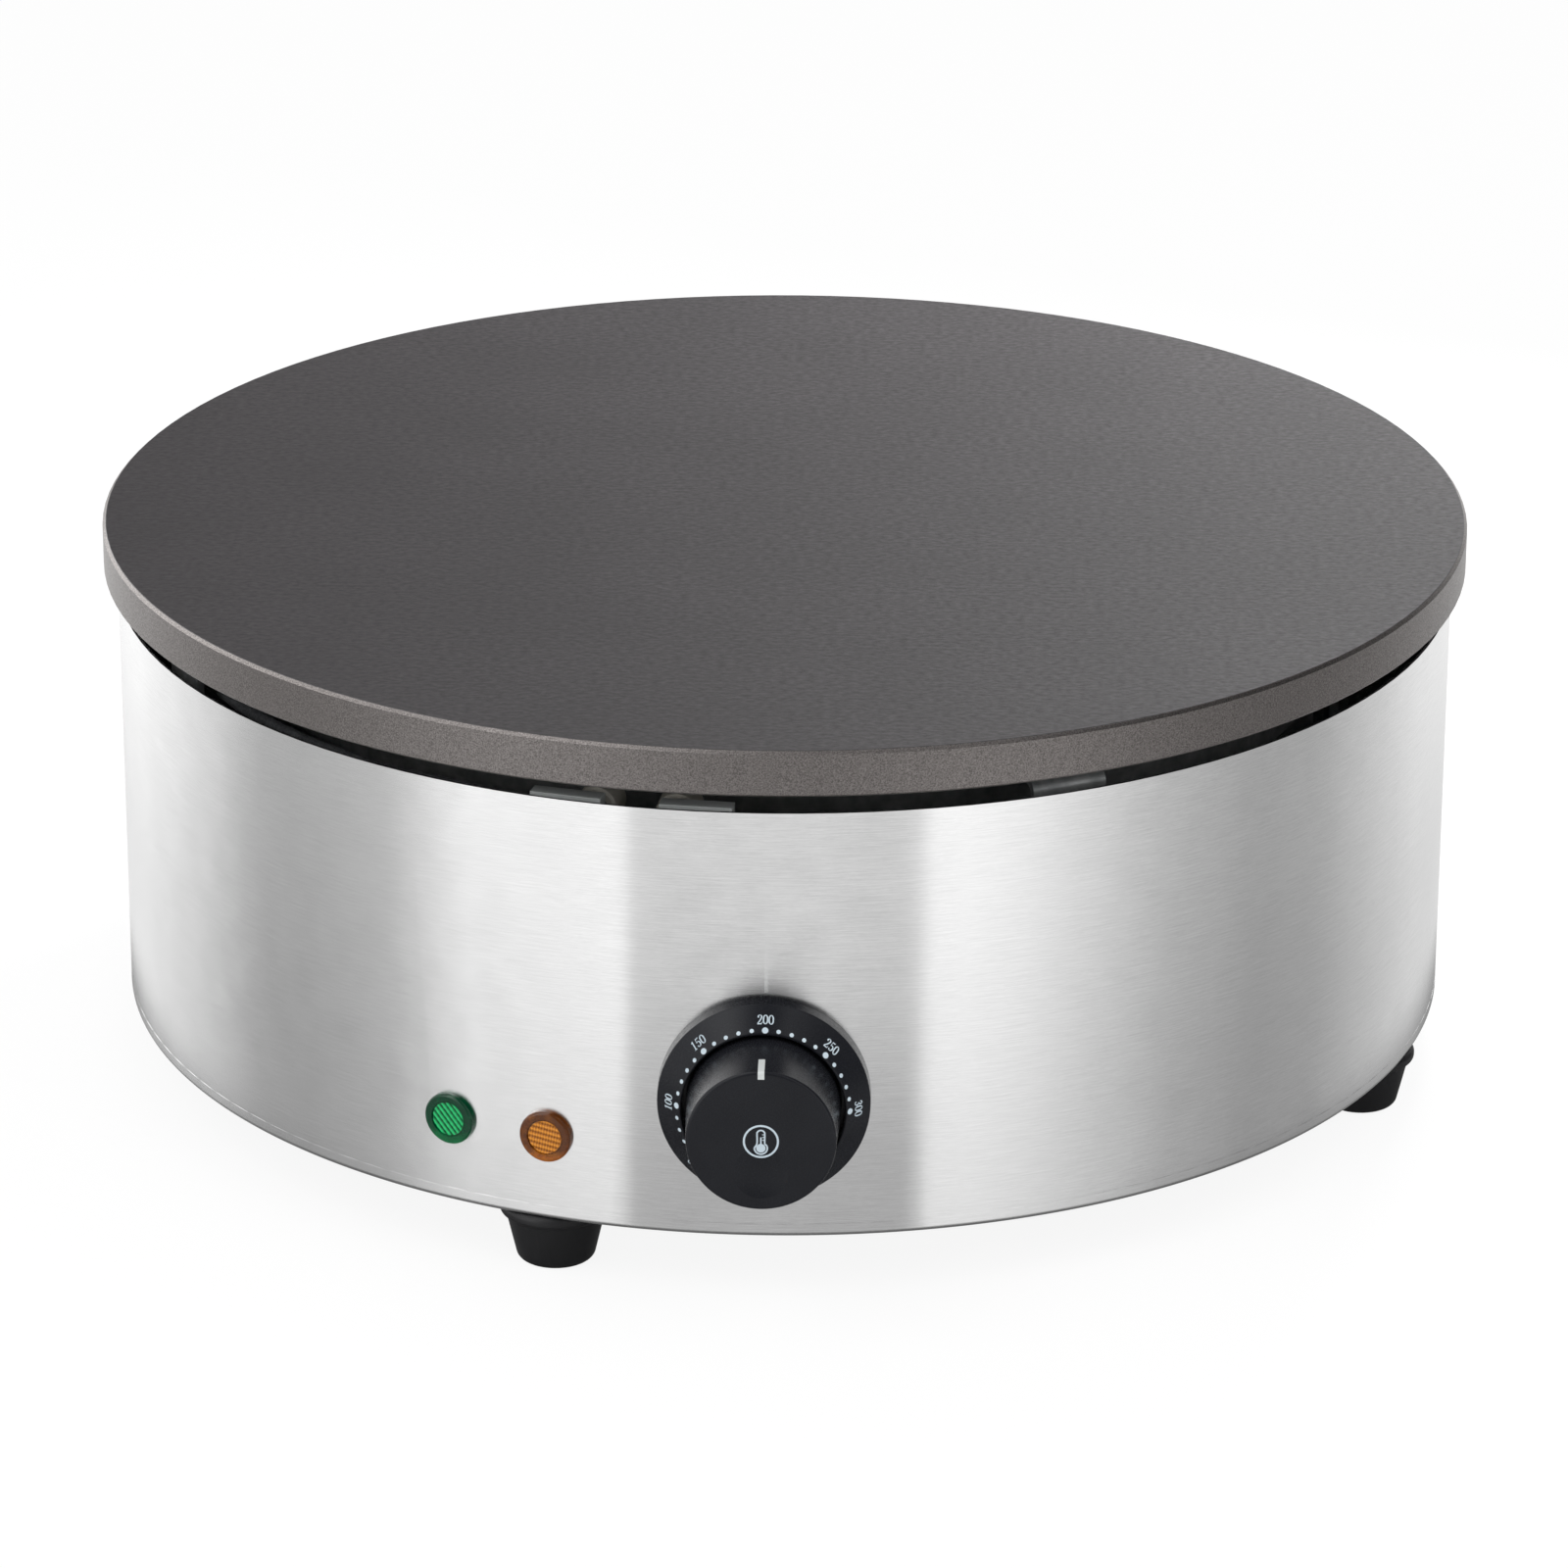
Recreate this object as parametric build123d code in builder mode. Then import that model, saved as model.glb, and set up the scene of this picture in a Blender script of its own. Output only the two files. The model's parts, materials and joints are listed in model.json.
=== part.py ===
from build123d import *
import os
from math import asin, cos, degrees, hypot, radians, sin, sqrt

# Electric crepe maker: a cast-iron cooking plate carried over a round stainless housing, with a
# tubular element clamped under the plate and a capillary thermostat behind the dial.
# Millimetres, +Z up. The origin is on the plate's axis, at the level of the table.
# The dial faces -Y. An azimuth is measured from -Y and grows towards +X.

os.makedirs("parts", exist_ok=True)

# ---------------------------------------------------------------- driving dimensions

# heights
foot_height = 18.0
shell_height = 126.0
air_gap = 6.3
plate_thickness = 13.2

# cooking plate
plate_diameter = 400.0
plate_top_chamfer = 1.0
plate_bottom_chamfer = 0.6
plate_boss_diameter = 16.0
plate_boss_height = 5.0
plate_boss_fillet = 1.5

# housing
plate_overhang = 4.0
shell_sheet = 0.8
shell_flange_width = 35.0
shell_bend_radius = 1.6
base_sheet = 1.2
base_edge_gap = 1.0
vent_count = 20
vent_length = 34.0
vent_width = 5.0
vent_middle_radius = 112.0

# feet
foot_count = 4
foot_first_azimuth = -19.0
foot_inset = 15.0
foot_flange_diameter = 31.4
foot_flange_thickness = 3.8
foot_flange_round = 1.6
foot_neck_diameter = 28.0
foot_toe_diameter = 21.4
foot_toe_round = 2.5
foot_recess_diameter = 12.4
foot_recess_depth = 9.0
foot_screw_diameter = 5.0
foot_screw_head_diameter = 9.5
foot_screw_head_height = 3.0
foot_washer_diameter = 11.4
foot_washer_thickness = 1.0

# heating element, in an even number of concentric turns
element_turns = 2
element_edge_margin = 52.0
element_turn_pitch = 36.0
element_tube_diameter = 7.4
element_bend_radius = 12.0
element_azimuth = -11.0
element_tail_spread = 3.5
element_turn_margin = 21.0
element_drop = 8.0
element_tail_gap = 7.2
element_pin_diameter = 3.4
element_pin_length = 5.0
bead_length = 10.0
bead_chamfer = 0.7
bead_diameter = 12.0
bead_setback = 2.0

# clamp plate, blanket and tray under the element
clamp_margin = 12.0
clamp_sheet = 1.5
clamp_rim_depth = 12.0
clamp_bend_radius = 2.5
clamp_window_margin = 2.0
blanket_thickness = 24.0
tray_sheet = 0.8
tray_bend_radius = 1.6
tray_rim_setback = 1.5
stud_diameter = 6.0
stud_count = 4
stud_first_azimuth = 26.0
stud_grip = 8.0
stud_end_length = 2.0
stud_nut_across_flats = 10.0
stud_nut_height = 5.0
stud_nut_pocket_diameter = 16.0

# brackets that carry the plate
bracket_count = 4
bracket_first_azimuth = 26.0
bracket_sheet = 2.0
bracket_width = 22.0
bracket_wall_gap = 7.2
bracket_hole_setback = 11.0
bracket_tab_length = 20.0
bracket_bend_radius = 4.0
bracket_slot_length = 60.0
bracket_slot_width = 9.0
bracket_screw_diameter = 6.0
bracket_screw_grip = 11.0
bracket_screw_head = 10.0
bracket_screw_head_height = 4.0
bracket_bolt_diameter = 5.0
bracket_bolt_head_diameter = 9.5
bracket_bolt_head_height = 3.0
bolt_head_chamfer = 1.0
bolt_end_length = 1.7
base_nut_across_flats = 8.0
base_nut_height = 4.0

# thermostat dial and knob; reaches are measured from the housing's axis
dial_height = 60.7
bezel_diameter = 58.4
bezel_side = 4.0
bezel_face_rise = 6.5
bezel_mouth_diameter = 44.6
bezel_wall = 1.8
bezel_floor = 3.0
bezel_hub_diameter = 14.4
bezel_rim_round = 0.5
knob_projection = 29.7
knob_length = 25.4
knob_skirt_diameter = 42.6
knob_face_diameter = 40.8
knob_wall = 2.2
knob_edge_round = 0.9
knob_hub_diameter = 13.0
knob_hub_setback = 3.6
knob_rib_count = 4
knob_rib_thickness = 1.4
knob_rib_setback = 6.0
knob_socket_depth = 15.0
knob_spring_sheet = 0.5
knob_spring_width = 3.4
knob_spring_length = 12.0
dimple_width = 15.0
dimple_depth = 0.8
dimple_offset = 9.4
pointer_width = 1.9
pointer_side_length = 8.0
pointer_face_length = 2.2
pointer_depth = 0.6

# thermostat
spindle_diameter = 6.0
spindle_flat_depth = 1.5
spindle_flat_length = 16.0
spindle_collar_diameter = 8.6
spindle_collar_thickness = 1.2
spindle_tail_length = 10.0
yoke_width = 41.0
yoke_height = 28.0
yoke_sheet = 1.5
yoke_arm_length = 20.0
yoke_bush_diameter = 9.6
yoke_bush_rise = 0.8
thermostat_screw_pitch = 28.0
thermostat_screw_diameter = 4.0
thermostat_screw_head_diameter = 7.6
thermostat_screw_head_height = 2.4
thermostat_screw_head_round = 0.8
thermostat_screw_bite = 1.5
thermostat_width = 35.0
thermostat_height = 40.0
thermostat_depth = 24.0
thermostat_corner = 2.0
thermostat_screw_pocket = 3.0
diaphragm_diameter = 25.0
diaphragm_thickness = 4.0
diaphragm_round = 1.3
blade_width = 6.3
blade_thickness = 0.8
blade_length = 9.0
blade_offset = 16.0

# sensor
bulb_diameter = 6.0
bulb_length = 90.0
bulb_offset = 35.0
bulb_end_round = 1.2
capillary_diameter = 2.0
capillary_hole_diameter = 4.0
capillary_drop = 53.0
capillary_drop_bend = 5.0
capillary_tray_bend = 10.0
capillary_run_bend = 20.0
capillary_below_tray = 20.0
capillary_lead_in = 30.0
bulb_clip_sheet = 0.8
bulb_clip_width = 14.0
bulb_clip_tab = 11.0
bulb_clip_screw_diameter = 4.0
bulb_clip_screw_head_diameter = 7.6
bulb_clip_screw_head_height = 2.4
bulb_clip_screw_grip = 6.0

# thermal cut-out on the tray
cutout_diameter = 16.0
cutout_height = 9.0
cutout_neck_diameter = 13.0
cutout_ear_pitch = 24.0
cutout_ear_diameter = 8.0
cutout_ear_thickness = 1.2
cutout_screw_diameter = 3.0
cutout_screw_head_diameter = 5.6
cutout_screw_head_height = 2.0
cutout_blade_pitch = 8.0
cutout_offset = 40.0

# pilot lamps
lamp_height = 43.7
green_lamp_azimuth = -26.5
amber_lamp_azimuth = -17.9
lamp_rim_diameter = 15.0
lamp_rim_thickness = 2.0
lamp_rim_round = 0.8
lamp_window_diameter = 10.4
lamp_window_setback = 0.6
lamp_window_wall = 1.5
lamp_neck_diameter = 12.0
lamp_neck_wall = 1.2
lamp_neck_length = 7.0
lamp_body_length = 24.0
lamp_body_plug = 4.0
lamp_retainer_diameter = 19.0
lamp_retainer_thickness = 0.8
lamp_lead_diameter = 1.8
lamp_lead_spread = 2.2
lamp_lead_grip = 3.0
lamp_lead_bend = 8.0
lamp_lead_run = 14.0

# cable gland
gland_height = 45.0
gland_thread_diameter = 20.0
gland_across_flats = 24.0
gland_projection = 29.7
gland_flange_thickness = 6.0
gland_inner_length = 10.0
gland_sleeve_diameter = 18.0
gland_sleeve_length = 11.0
gland_seal_diameter = 13.2
gland_throat_diameter = 11.6
gland_throat_length = 8.0
gland_nut_across_flats = 26.0
gland_nut_thickness = 5.0
gland_cap_gap = 1.0
gland_cap_hex_length = 11.0
gland_cap_nose_diameter = 20.0
gland_cap_round = 4.0
gland_mouth_diameter = 10.6
seal_bore_diameter = 9.2
seal_length = 15.0

# terminal block and earth stud on the base
block_length = 44.0
block_width = 20.0
block_height = 17.0
block_corner = 1.5
block_wall_gap = 57.2
block_ways = 3
block_way_pitch = 13.0
block_way_diameter = 4.4
block_way_depth = 6.0
block_way_level = 7.0
block_tap_spread = 2.2
block_tap_level = 11.5
block_clamp_diameter = 5.0
block_clamp_pitch = 9.0
block_clamp_depth = 4.0
block_clamp_setback = 1.0
block_fixing_pitch = 38.0
block_fixing_diameter = 3.0
block_fixing_grip = 6.0
block_fixing_head_diameter = 5.6
block_fixing_head_height = 2.0
earth_azimuth = 145.0
earth_radius = 80.0
earth_stud_diameter = 5.0
earth_stud_length = 12.0

# internal leads and their terminals
lead_diameter = 3.6
lead_bend_radius = 12.0
lead_run_gap = 16.2
lead_run_drop = 15.8
lead_run_start = -42.0
lead_run_end = -118.0
lead_run_lead_in = 16.0
lead_run_lead_out = 28.0
lead_drop_rise = 22.0
lead_block_run = 30.0
lead_grip = 4.0
lead_flag_run = 5.0
lead_arch_rise = 35.3
lead_arch_fall = 8.0
lead_floor_rise = 4.5
lead_floor_offset = 120.0
lead_riser_offset = 24.0
lead_riser_bend = 8.0
lead_riser_rise = 30.0
lead_mouth_bend = 5.0
earth_lead_in = 16.0
lug_sheet = 1.0
lug_ring_diameter = 8.4
lug_barrel_diameter = 5.2
lug_barrel_length = 8.0
lug_barrel_offset = 9.0
flag_width = 8.0
flag_thickness = 4.6
flag_length = 20.0
flag_pin_setback = 3.6
flag_rise = 1.8
receptacle_width = 8.0
receptacle_thickness = 5.0
receptacle_length = 13.0
receptacle_gap = 0.3
lamp_tap_rise = 5.2
lamp_tap_depth = 2.5
lamp_crossing = (-18.0, 40.0, 52.0)

# clearances
hole_clearance = 0.3
thread_clearance = 0.05
running_clearance = 0.05
contact_gap = 0.15
seat_gap = 0.05

# angle of azimuth 0 in the XY plane, and of one turn
front_angle = -90.0
full_turn = 360.0

# ---------------------------------------------------------------- places that follow from them

plate_radius = plate_diameter / 2
shell_radius = plate_radius - plate_overhang
shell_inner_radius = shell_radius - shell_sheet
shell_top = foot_height + shell_height
shell_flange_radius = shell_radius - shell_flange_width
plate_bottom = shell_top + air_gap
boss_face = plate_bottom - plate_boss_height
base_underside = foot_height + shell_sheet
base_top = base_underside + base_sheet
base_radius = shell_inner_radius - base_edge_gap
foot_pitch_radius = shell_radius - foot_inset
bracket_outer_radius = shell_inner_radius - bracket_wall_gap
bracket_hole_radius = bracket_outer_radius - bracket_hole_setback

element_outer_radius = plate_radius - element_edge_margin
element_tail_radius = shell_inner_radius - element_tail_gap
clamp_radius = element_outer_radius + clamp_margin
block_back = shell_inner_radius - block_wall_gap
block_front = block_back - block_width
block_position = block_back - block_width / 2
lead_run_radius = shell_inner_radius - lead_run_gap
lead_run_level = plate_bottom - lead_run_drop

element_level = plate_bottom - contact_gap - element_tube_diameter / 2
element_tail_level = element_level - element_drop
stud_pitch_radius = element_outer_radius - element_turn_pitch / 2
clamp_top = element_level - element_tube_diameter / 2 - contact_gap
clamp_bottom = clamp_top - clamp_sheet
tray_floor = clamp_bottom - blanket_thickness
tray_bottom = tray_floor - tray_sheet
tray_radius = clamp_radius - clamp_sheet - hole_clearance
bulb_level = plate_bottom - contact_gap - bulb_diameter / 2
bulb_seat_radius = bulb_diameter / 2 + contact_gap
bulb_clip_radius = bulb_seat_radius + bulb_clip_sheet
bulb_clip_screw_pitch = 2 * bulb_clip_radius + bulb_clip_tab
stud_hole_diameter = stud_diameter + 2 * hole_clearance
blanket_radius = tray_radius - tray_bend_radius
stud_bottom = tray_bottom - stud_nut_height - stud_end_length

dial_floor_reach = shell_radius + bezel_floor
dial_rim_reach = shell_radius + bezel_side
dial_mouth_reach = dial_rim_reach + bezel_face_rise
knob_face_reach = shell_radius + knob_projection
knob_back_reach = knob_face_reach - knob_length
yoke_reach = sqrt(shell_inner_radius**2 - (yoke_width / 2) ** 2) - contact_gap
thermostat_reach = yoke_reach - yoke_sheet
thermostat_back_reach = thermostat_reach - thermostat_depth
spindle_end_reach = knob_back_reach + knob_hub_setback + knob_socket_depth - contact_gap


# ---------------------------------------------------------------- planes and shapes used often


def outward(azimuth):
    """Unit vector that leaves the housing's axis at an azimuth."""
    turn = radians(azimuth)
    return Vector(sin(turn), -cos(turn), 0)


def along(azimuth):
    """Unit vector along the wall at an azimuth."""
    turn = radians(azimuth)
    return Vector(cos(turn), sin(turn), 0)


def wall_plane(azimuth, height, reach):
    """Plane square to a radius: x runs along the wall, y up and z outward."""
    centre = outward(azimuth) * reach + Vector(0, 0, height)
    return Plane(origin=centre, x_dir=along(azimuth), z_dir=outward(azimuth))


def radial_plane(azimuth, height=0.0):
    """Plane through the housing's axis: x runs outward and y up."""
    return Plane(origin=(0, 0, height), x_dir=outward(azimuth), z_dir=-along(azimuth))


def wall_axis(azimuth, height):
    """Axis that leaves the housing square to its wall."""
    return Axis((0, 0, height), outward(azimuth))


def spot(azimuth, radius, height):
    """Point at an azimuth, a radius and a height."""
    return outward(azimuth) * radius + Vector(0, 0, height)


def ring_of(count, radius, first_azimuth):
    """Evenly spaced places on a circle, the first one at an azimuth."""
    return PolarLocations(radius, count, start_angle=first_azimuth + front_angle)


def add_outline(*corners):
    """Fill a closed outline in the current sketch; a corner is (x, y) or (x, y, round)."""
    with BuildLine() as outline:
        Polyline(*[corner[:2] for corner in corners], close=True)
    make_face(outline.edges())
    for corner in corners:
        if len(corner) == 3:
            fillet(vertices().sort_by_distance(corner[:2])[0], radius=corner[2])


def add_nut_outline(across_flats, hole_diameter):
    """Hexagon with a round hole at each current location of a sketch."""
    RegularPolygon(across_flats / 2, 6, major_radius=False)
    Circle(hole_diameter / 2, mode=Mode.SUBTRACT)


# ---------------------------------------------------------------- cooking plate and its studs

with BuildPart() as griddle_plate:
    with BuildSketch(Plane.XY.offset(plate_bottom)):
        Circle(plate_radius)
    extrude(amount=plate_thickness)
    chamfer(griddle_plate.edges().group_by(Axis.Z)[-1], length=plate_top_chamfer)
    chamfer(griddle_plate.edges().group_by(Axis.Z)[0], length=plate_bottom_chamfer)
    with BuildSketch(Plane.XY.offset(plate_bottom)):
        with ring_of(bracket_count, bracket_hole_radius, bracket_first_azimuth):
            Circle(plate_boss_diameter / 2)
    extrude(amount=-plate_boss_height)
    boss_feet = griddle_plate.edges().filter_by(GeomType.CIRCLE).filter_by_position(
        Axis.Z, plate_bottom - contact_gap, plate_bottom + contact_gap
    )
    boss_feet = boss_feet.filter_by(lambda edge: edge.radius < plate_boss_diameter)
    fillet(boss_feet, radius=plate_boss_fillet)
    with BuildSketch(Plane.XY.offset(boss_face)):
        with ring_of(bracket_count, bracket_hole_radius, bracket_first_azimuth):
            Circle(bracket_screw_diameter / 2 + thread_clearance)
    extrude(amount=bracket_screw_grip, mode=Mode.SUBTRACT)
    with BuildSketch(Plane.XY.offset(plate_bottom)):
        with ring_of(stud_count, stud_pitch_radius, stud_first_azimuth):
            Circle(stud_diameter / 2 + thread_clearance)
        Circle(stud_diameter / 2 + thread_clearance)
    extrude(amount=stud_grip, mode=Mode.SUBTRACT)
    with BuildSketch(Plane.XY.offset(plate_bottom)):
        with Locations((0, bulb_offset)):
            with GridLocations(0, bulb_clip_screw_pitch, 1, 2):
                Circle(bulb_clip_screw_diameter / 2 + thread_clearance)
    extrude(amount=bulb_clip_screw_grip, mode=Mode.SUBTRACT)
griddle_plate.part.label = "griddle_plate"
export_step(griddle_plate.part, "parts/griddle_plate.step")

with BuildPart() as plate_studs:
    with BuildSketch(Plane.XY.offset(stud_bottom)):
        with ring_of(stud_count, stud_pitch_radius, stud_first_azimuth):
            Circle(stud_diameter / 2)
        Circle(stud_diameter / 2)
    extrude(amount=plate_bottom + stud_grip - contact_gap - stud_bottom)
plate_studs.part.label = "plate_studs"
export_step(plate_studs.part, "parts/plate_studs.step")

# ---------------------------------------------------------------- heating element
# The tube comes in at one tail, runs round the turns from the outside inwards, each turn the
# other way from the last, and leaves beside the first tail through the break in the turns.

tail_azimuths = (element_azimuth + element_tail_spread, element_azimuth - element_tail_spread)


def tail_start(radius):
    """Distance along a tail at which its bend onto a turn begins."""
    return sqrt((radius + element_bend_radius) ** 2 - element_bend_radius**2)


def tail_lead(radius):
    """Angle that the bend from a tail onto a turn takes up."""
    return degrees(asin(element_bend_radius / (radius + element_bend_radius)))


def add_tail(azimuth, radius):
    """Draw a tail from its terminal, up over its joggle and round the bend onto a turn."""
    start = tail_start(radius)
    joggle_start = tail_start(element_outer_radius) + element_tube_diameter / 2
    joggle_end = joggle_start + element_drop
    FilletPolyline(
        spot(azimuth, start, element_level),
        spot(azimuth, joggle_start, element_level),
        spot(azimuth, joggle_end, element_tail_level),
        spot(azimuth, element_tail_radius, element_tail_level),
        radius=element_tube_diameter,
    )
    meet = azimuth + tail_lead(radius)
    TangentArc(
        spot(azimuth, start, element_level),
        spot(meet, radius, element_level),
        tangent=-outward(azimuth),
    )
    return meet


with BuildPart() as heating_element:
    with BuildLine() as element_path:
        turn_from = add_tail(tail_azimuths[0], element_outer_radius)
        turn_radius = element_outer_radius
        for turn in range(element_turns):
            forward = turn % 2 == 0
            if turn == element_turns - 1:
                turn_to = add_tail(tail_azimuths[1], turn_radius)
            elif forward:
                turn_to = element_azimuth - element_turn_margin + full_turn
            else:
                turn_to = element_azimuth + element_turn_margin
            arc_start = turn_from + front_angle
            CenterArc((0, 0, element_level), turn_radius, arc_start, turn_to - turn_from)
            if turn < element_turns - 1:
                middle = spot(turn_to, turn_radius - element_turn_pitch / 2, element_level)
                half_turn = full_turn / 2 if forward else -full_turn / 2
                CenterArc(middle, element_turn_pitch / 2, turn_to + front_angle, half_turn)
            turn_from = turn_to
            turn_radius = turn_radius - element_turn_pitch
    with BuildSketch(wall_plane(tail_azimuths[0], element_tail_level, element_tail_radius)):
        Circle(element_tube_diameter / 2)
    sweep(path=element_path.wires()[0])
    for azimuth in tail_azimuths:
        with BuildSketch(wall_plane(azimuth, element_tail_level, element_tail_radius)):
            Circle(element_pin_diameter / 2)
        extrude(amount=element_pin_length)
heating_element.part.label = "heating_element"
export_step(heating_element.part, "parts/heating_element.step")

with BuildPart() as element_insulators:
    bead_end = element_tail_radius - bead_setback
    for azimuth in tail_azimuths:
        with BuildSketch(wall_plane(azimuth, element_tail_level, bead_end)):
            Circle(bead_diameter / 2)
            Circle(element_tube_diameter / 2 + running_clearance, mode=Mode.SUBTRACT)
        extrude(amount=-bead_length)
    bead_rims = element_insulators.edges().filter_by(GeomType.CIRCLE).group_by(SortBy.RADIUS)[-1]
    chamfer(bead_rims, length=bead_chamfer)
element_insulators.part.label = "element_insulators"
export_step(element_insulators.part, "parts/element_insulators.step")

# ---------------------------------------------------------------- clamp plate, blanket and tray


def add_stud_circles(diameter, mode=Mode.ADD):
    """A circle on every stud: one in the middle and a ring of them between two turns."""
    with ring_of(stud_count, stud_pitch_radius, stud_first_azimuth):
        Circle(diameter / 2, mode=mode)
    Circle(diameter / 2, mode=mode)


with BuildPart() as element_clamp_plate:
    with BuildSketch(radial_plane(0)):
        add_outline(
            (0, clamp_bottom),
            (0, clamp_top),
            (clamp_radius, clamp_top, clamp_bend_radius),
            (clamp_radius, clamp_bottom - clamp_rim_depth),
            (clamp_radius - clamp_sheet, clamp_bottom - clamp_rim_depth),
            (clamp_radius - clamp_sheet, clamp_bottom, clamp_bend_radius - clamp_sheet),
        )
    revolve(axis=Axis.Z)
    with BuildSketch(Plane.XY.offset(clamp_bottom)):
        add_stud_circles(stud_hole_diameter)
        with Locations((0, bulb_offset)):
            Rectangle(
                2 * (capillary_drop + capillary_hole_diameter),
                bulb_clip_screw_pitch + bulb_clip_tab + 2 * clamp_window_margin,
            )
    extrude(amount=clamp_sheet, mode=Mode.SUBTRACT)
element_clamp_plate.part.label = "element_clamp_plate"
export_step(element_clamp_plate.part, "parts/element_clamp_plate.step")

with BuildPart() as insulation_blanket:
    with BuildSketch(Plane.XY.offset(tray_floor)):
        Circle(blanket_radius)
        add_stud_circles(stud_nut_pocket_diameter, mode=Mode.SUBTRACT)
        with Locations((capillary_drop, bulb_offset)):
            Circle(capillary_hole_diameter / 2, mode=Mode.SUBTRACT)
    extrude(amount=blanket_thickness)
insulation_blanket.part.label = "insulation_blanket"
export_step(insulation_blanket.part, "parts/insulation_blanket.step")

with BuildPart() as insulation_tray:
    tray_rim_level = clamp_bottom - tray_rim_setback
    with BuildSketch(radial_plane(0)):
        add_outline(
            (0, tray_bottom),
            (0, tray_floor),
            (tray_radius - tray_sheet, tray_floor, tray_bend_radius - tray_sheet),
            (tray_radius - tray_sheet, tray_rim_level),
            (tray_radius, tray_rim_level),
            (tray_radius, tray_bottom, tray_bend_radius),
        )
    revolve(axis=Axis.Z)
    with BuildSketch(Plane.XY.offset(tray_bottom)):
        add_stud_circles(stud_hole_diameter)
        with Locations((capillary_drop, bulb_offset)):
            Circle(capillary_hole_diameter / 2)
        with Locations((0, -cutout_offset)):
            with GridLocations(cutout_ear_pitch, 0, 2, 1):
                Circle(cutout_screw_diameter / 2 + thread_clearance)
    extrude(amount=tray_sheet, mode=Mode.SUBTRACT)
insulation_tray.part.label = "insulation_tray"
export_step(insulation_tray.part, "parts/insulation_tray.step")

with BuildPart() as stud_nuts:
    for nut_face in (clamp_bottom, tray_bottom):
        with BuildSketch(Plane.XY.offset(nut_face)):
            with ring_of(stud_count, stud_pitch_radius, stud_first_azimuth):
                add_nut_outline(stud_nut_across_flats, stud_diameter + 2 * thread_clearance)
            add_nut_outline(stud_nut_across_flats, stud_diameter + 2 * thread_clearance)
        extrude(amount=-stud_nut_height)
stud_nuts.part.label = "stud_nuts"
export_step(stud_nuts.part, "parts/stud_nuts.step")

# ---------------------------------------------------------------- sensor under the plate

with BuildPart() as sensor_bulb:
    with BuildSketch(Plane(origin=(-bulb_length / 2, bulb_offset, bulb_level), z_dir=(1, 0, 0))):
        Circle(bulb_diameter / 2)
    extrude(amount=bulb_length)
    fillet(sensor_bulb.edges().filter_by(GeomType.CIRCLE), radius=bulb_end_round)
sensor_bulb.part.label = "sensor_bulb"
export_step(sensor_bulb.part, "parts/sensor_bulb.step")

with BuildPart() as bulb_clip:
    clip_side = Plane(origin=(0, bulb_offset, bulb_level), x_dir=(0, 1, 0), z_dir=(1, 0, 0))
    clip_rise = plate_bottom - bulb_level
    with BuildSketch(clip_side):
        with Locations((0, clip_rise)):
            Rectangle(
                bulb_clip_screw_pitch + bulb_clip_tab,
                bulb_clip_sheet,
                align=(Align.CENTER, Align.MAX),
            )
        Circle(bulb_clip_radius)
        Rectangle(2 * bulb_clip_radius, clip_rise, align=(Align.CENTER, Align.MIN))
        with Locations((0, clip_rise)):
            Rectangle(
                2 * bulb_clip_radius,
                bulb_clip_radius,
                align=(Align.CENTER, Align.MIN),
                mode=Mode.SUBTRACT,
            )
        Circle(bulb_seat_radius, mode=Mode.SUBTRACT)
        Rectangle(
            2 * bulb_seat_radius,
            clip_rise,
            align=(Align.CENTER, Align.MIN),
            mode=Mode.SUBTRACT,
        )
    extrude(amount=bulb_clip_width / 2, both=True)
    with BuildSketch(Plane.XY.offset(plate_bottom)):
        with Locations((0, bulb_offset)):
            with GridLocations(0, bulb_clip_screw_pitch, 1, 2):
                Circle(bulb_clip_screw_diameter / 2 + hole_clearance)
    extrude(amount=-bulb_clip_sheet, mode=Mode.SUBTRACT)
bulb_clip.part.label = "bulb_clip"
export_step(bulb_clip.part, "parts/bulb_clip.step")

with BuildPart() as bulb_clip_screws:
    with BuildSketch(Plane.XY.offset(plate_bottom - bulb_clip_sheet)):
        with Locations((0, bulb_offset)):
            with GridLocations(0, bulb_clip_screw_pitch, 1, 2):
                Circle(bulb_clip_screw_head_diameter / 2)
    extrude(amount=-bulb_clip_screw_head_height)
    with BuildSketch(Plane.XY.offset(plate_bottom - bulb_clip_sheet)):
        with Locations((0, bulb_offset)):
            with GridLocations(0, bulb_clip_screw_pitch, 1, 2):
                Circle(bulb_clip_screw_diameter / 2)
    extrude(amount=bulb_clip_sheet + bulb_clip_screw_grip - contact_gap)
bulb_clip_screws.part.label = "bulb_clip_screws"
export_step(bulb_clip_screws.part, "parts/bulb_clip_screws.step")

with BuildPart() as capillary_tube:
    diaphragm_back = thermostat_back_reach - diaphragm_thickness
    with BuildLine() as capillary_path:
        FilletPolyline(
            (bulb_length / 2, bulb_offset, bulb_level),
            (capillary_drop, bulb_offset, bulb_level),
            (capillary_drop, bulb_offset, tray_bottom - capillary_below_tray),
            (0, capillary_lead_in - diaphragm_back, dial_height),
            (0, -diaphragm_back, dial_height),
            radius=(capillary_drop_bend, capillary_tray_bend, capillary_run_bend),
        )
    with BuildSketch(Plane(origin=(bulb_length / 2, bulb_offset, bulb_level), z_dir=(1, 0, 0))):
        Circle(capillary_diameter / 2)
    sweep(path=capillary_path.wires()[0])
capillary_tube.part.label = "capillary_tube"
export_step(capillary_tube.part, "parts/capillary_tube.step")

# ---------------------------------------------------------------- thermal cut-out on the tray

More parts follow.
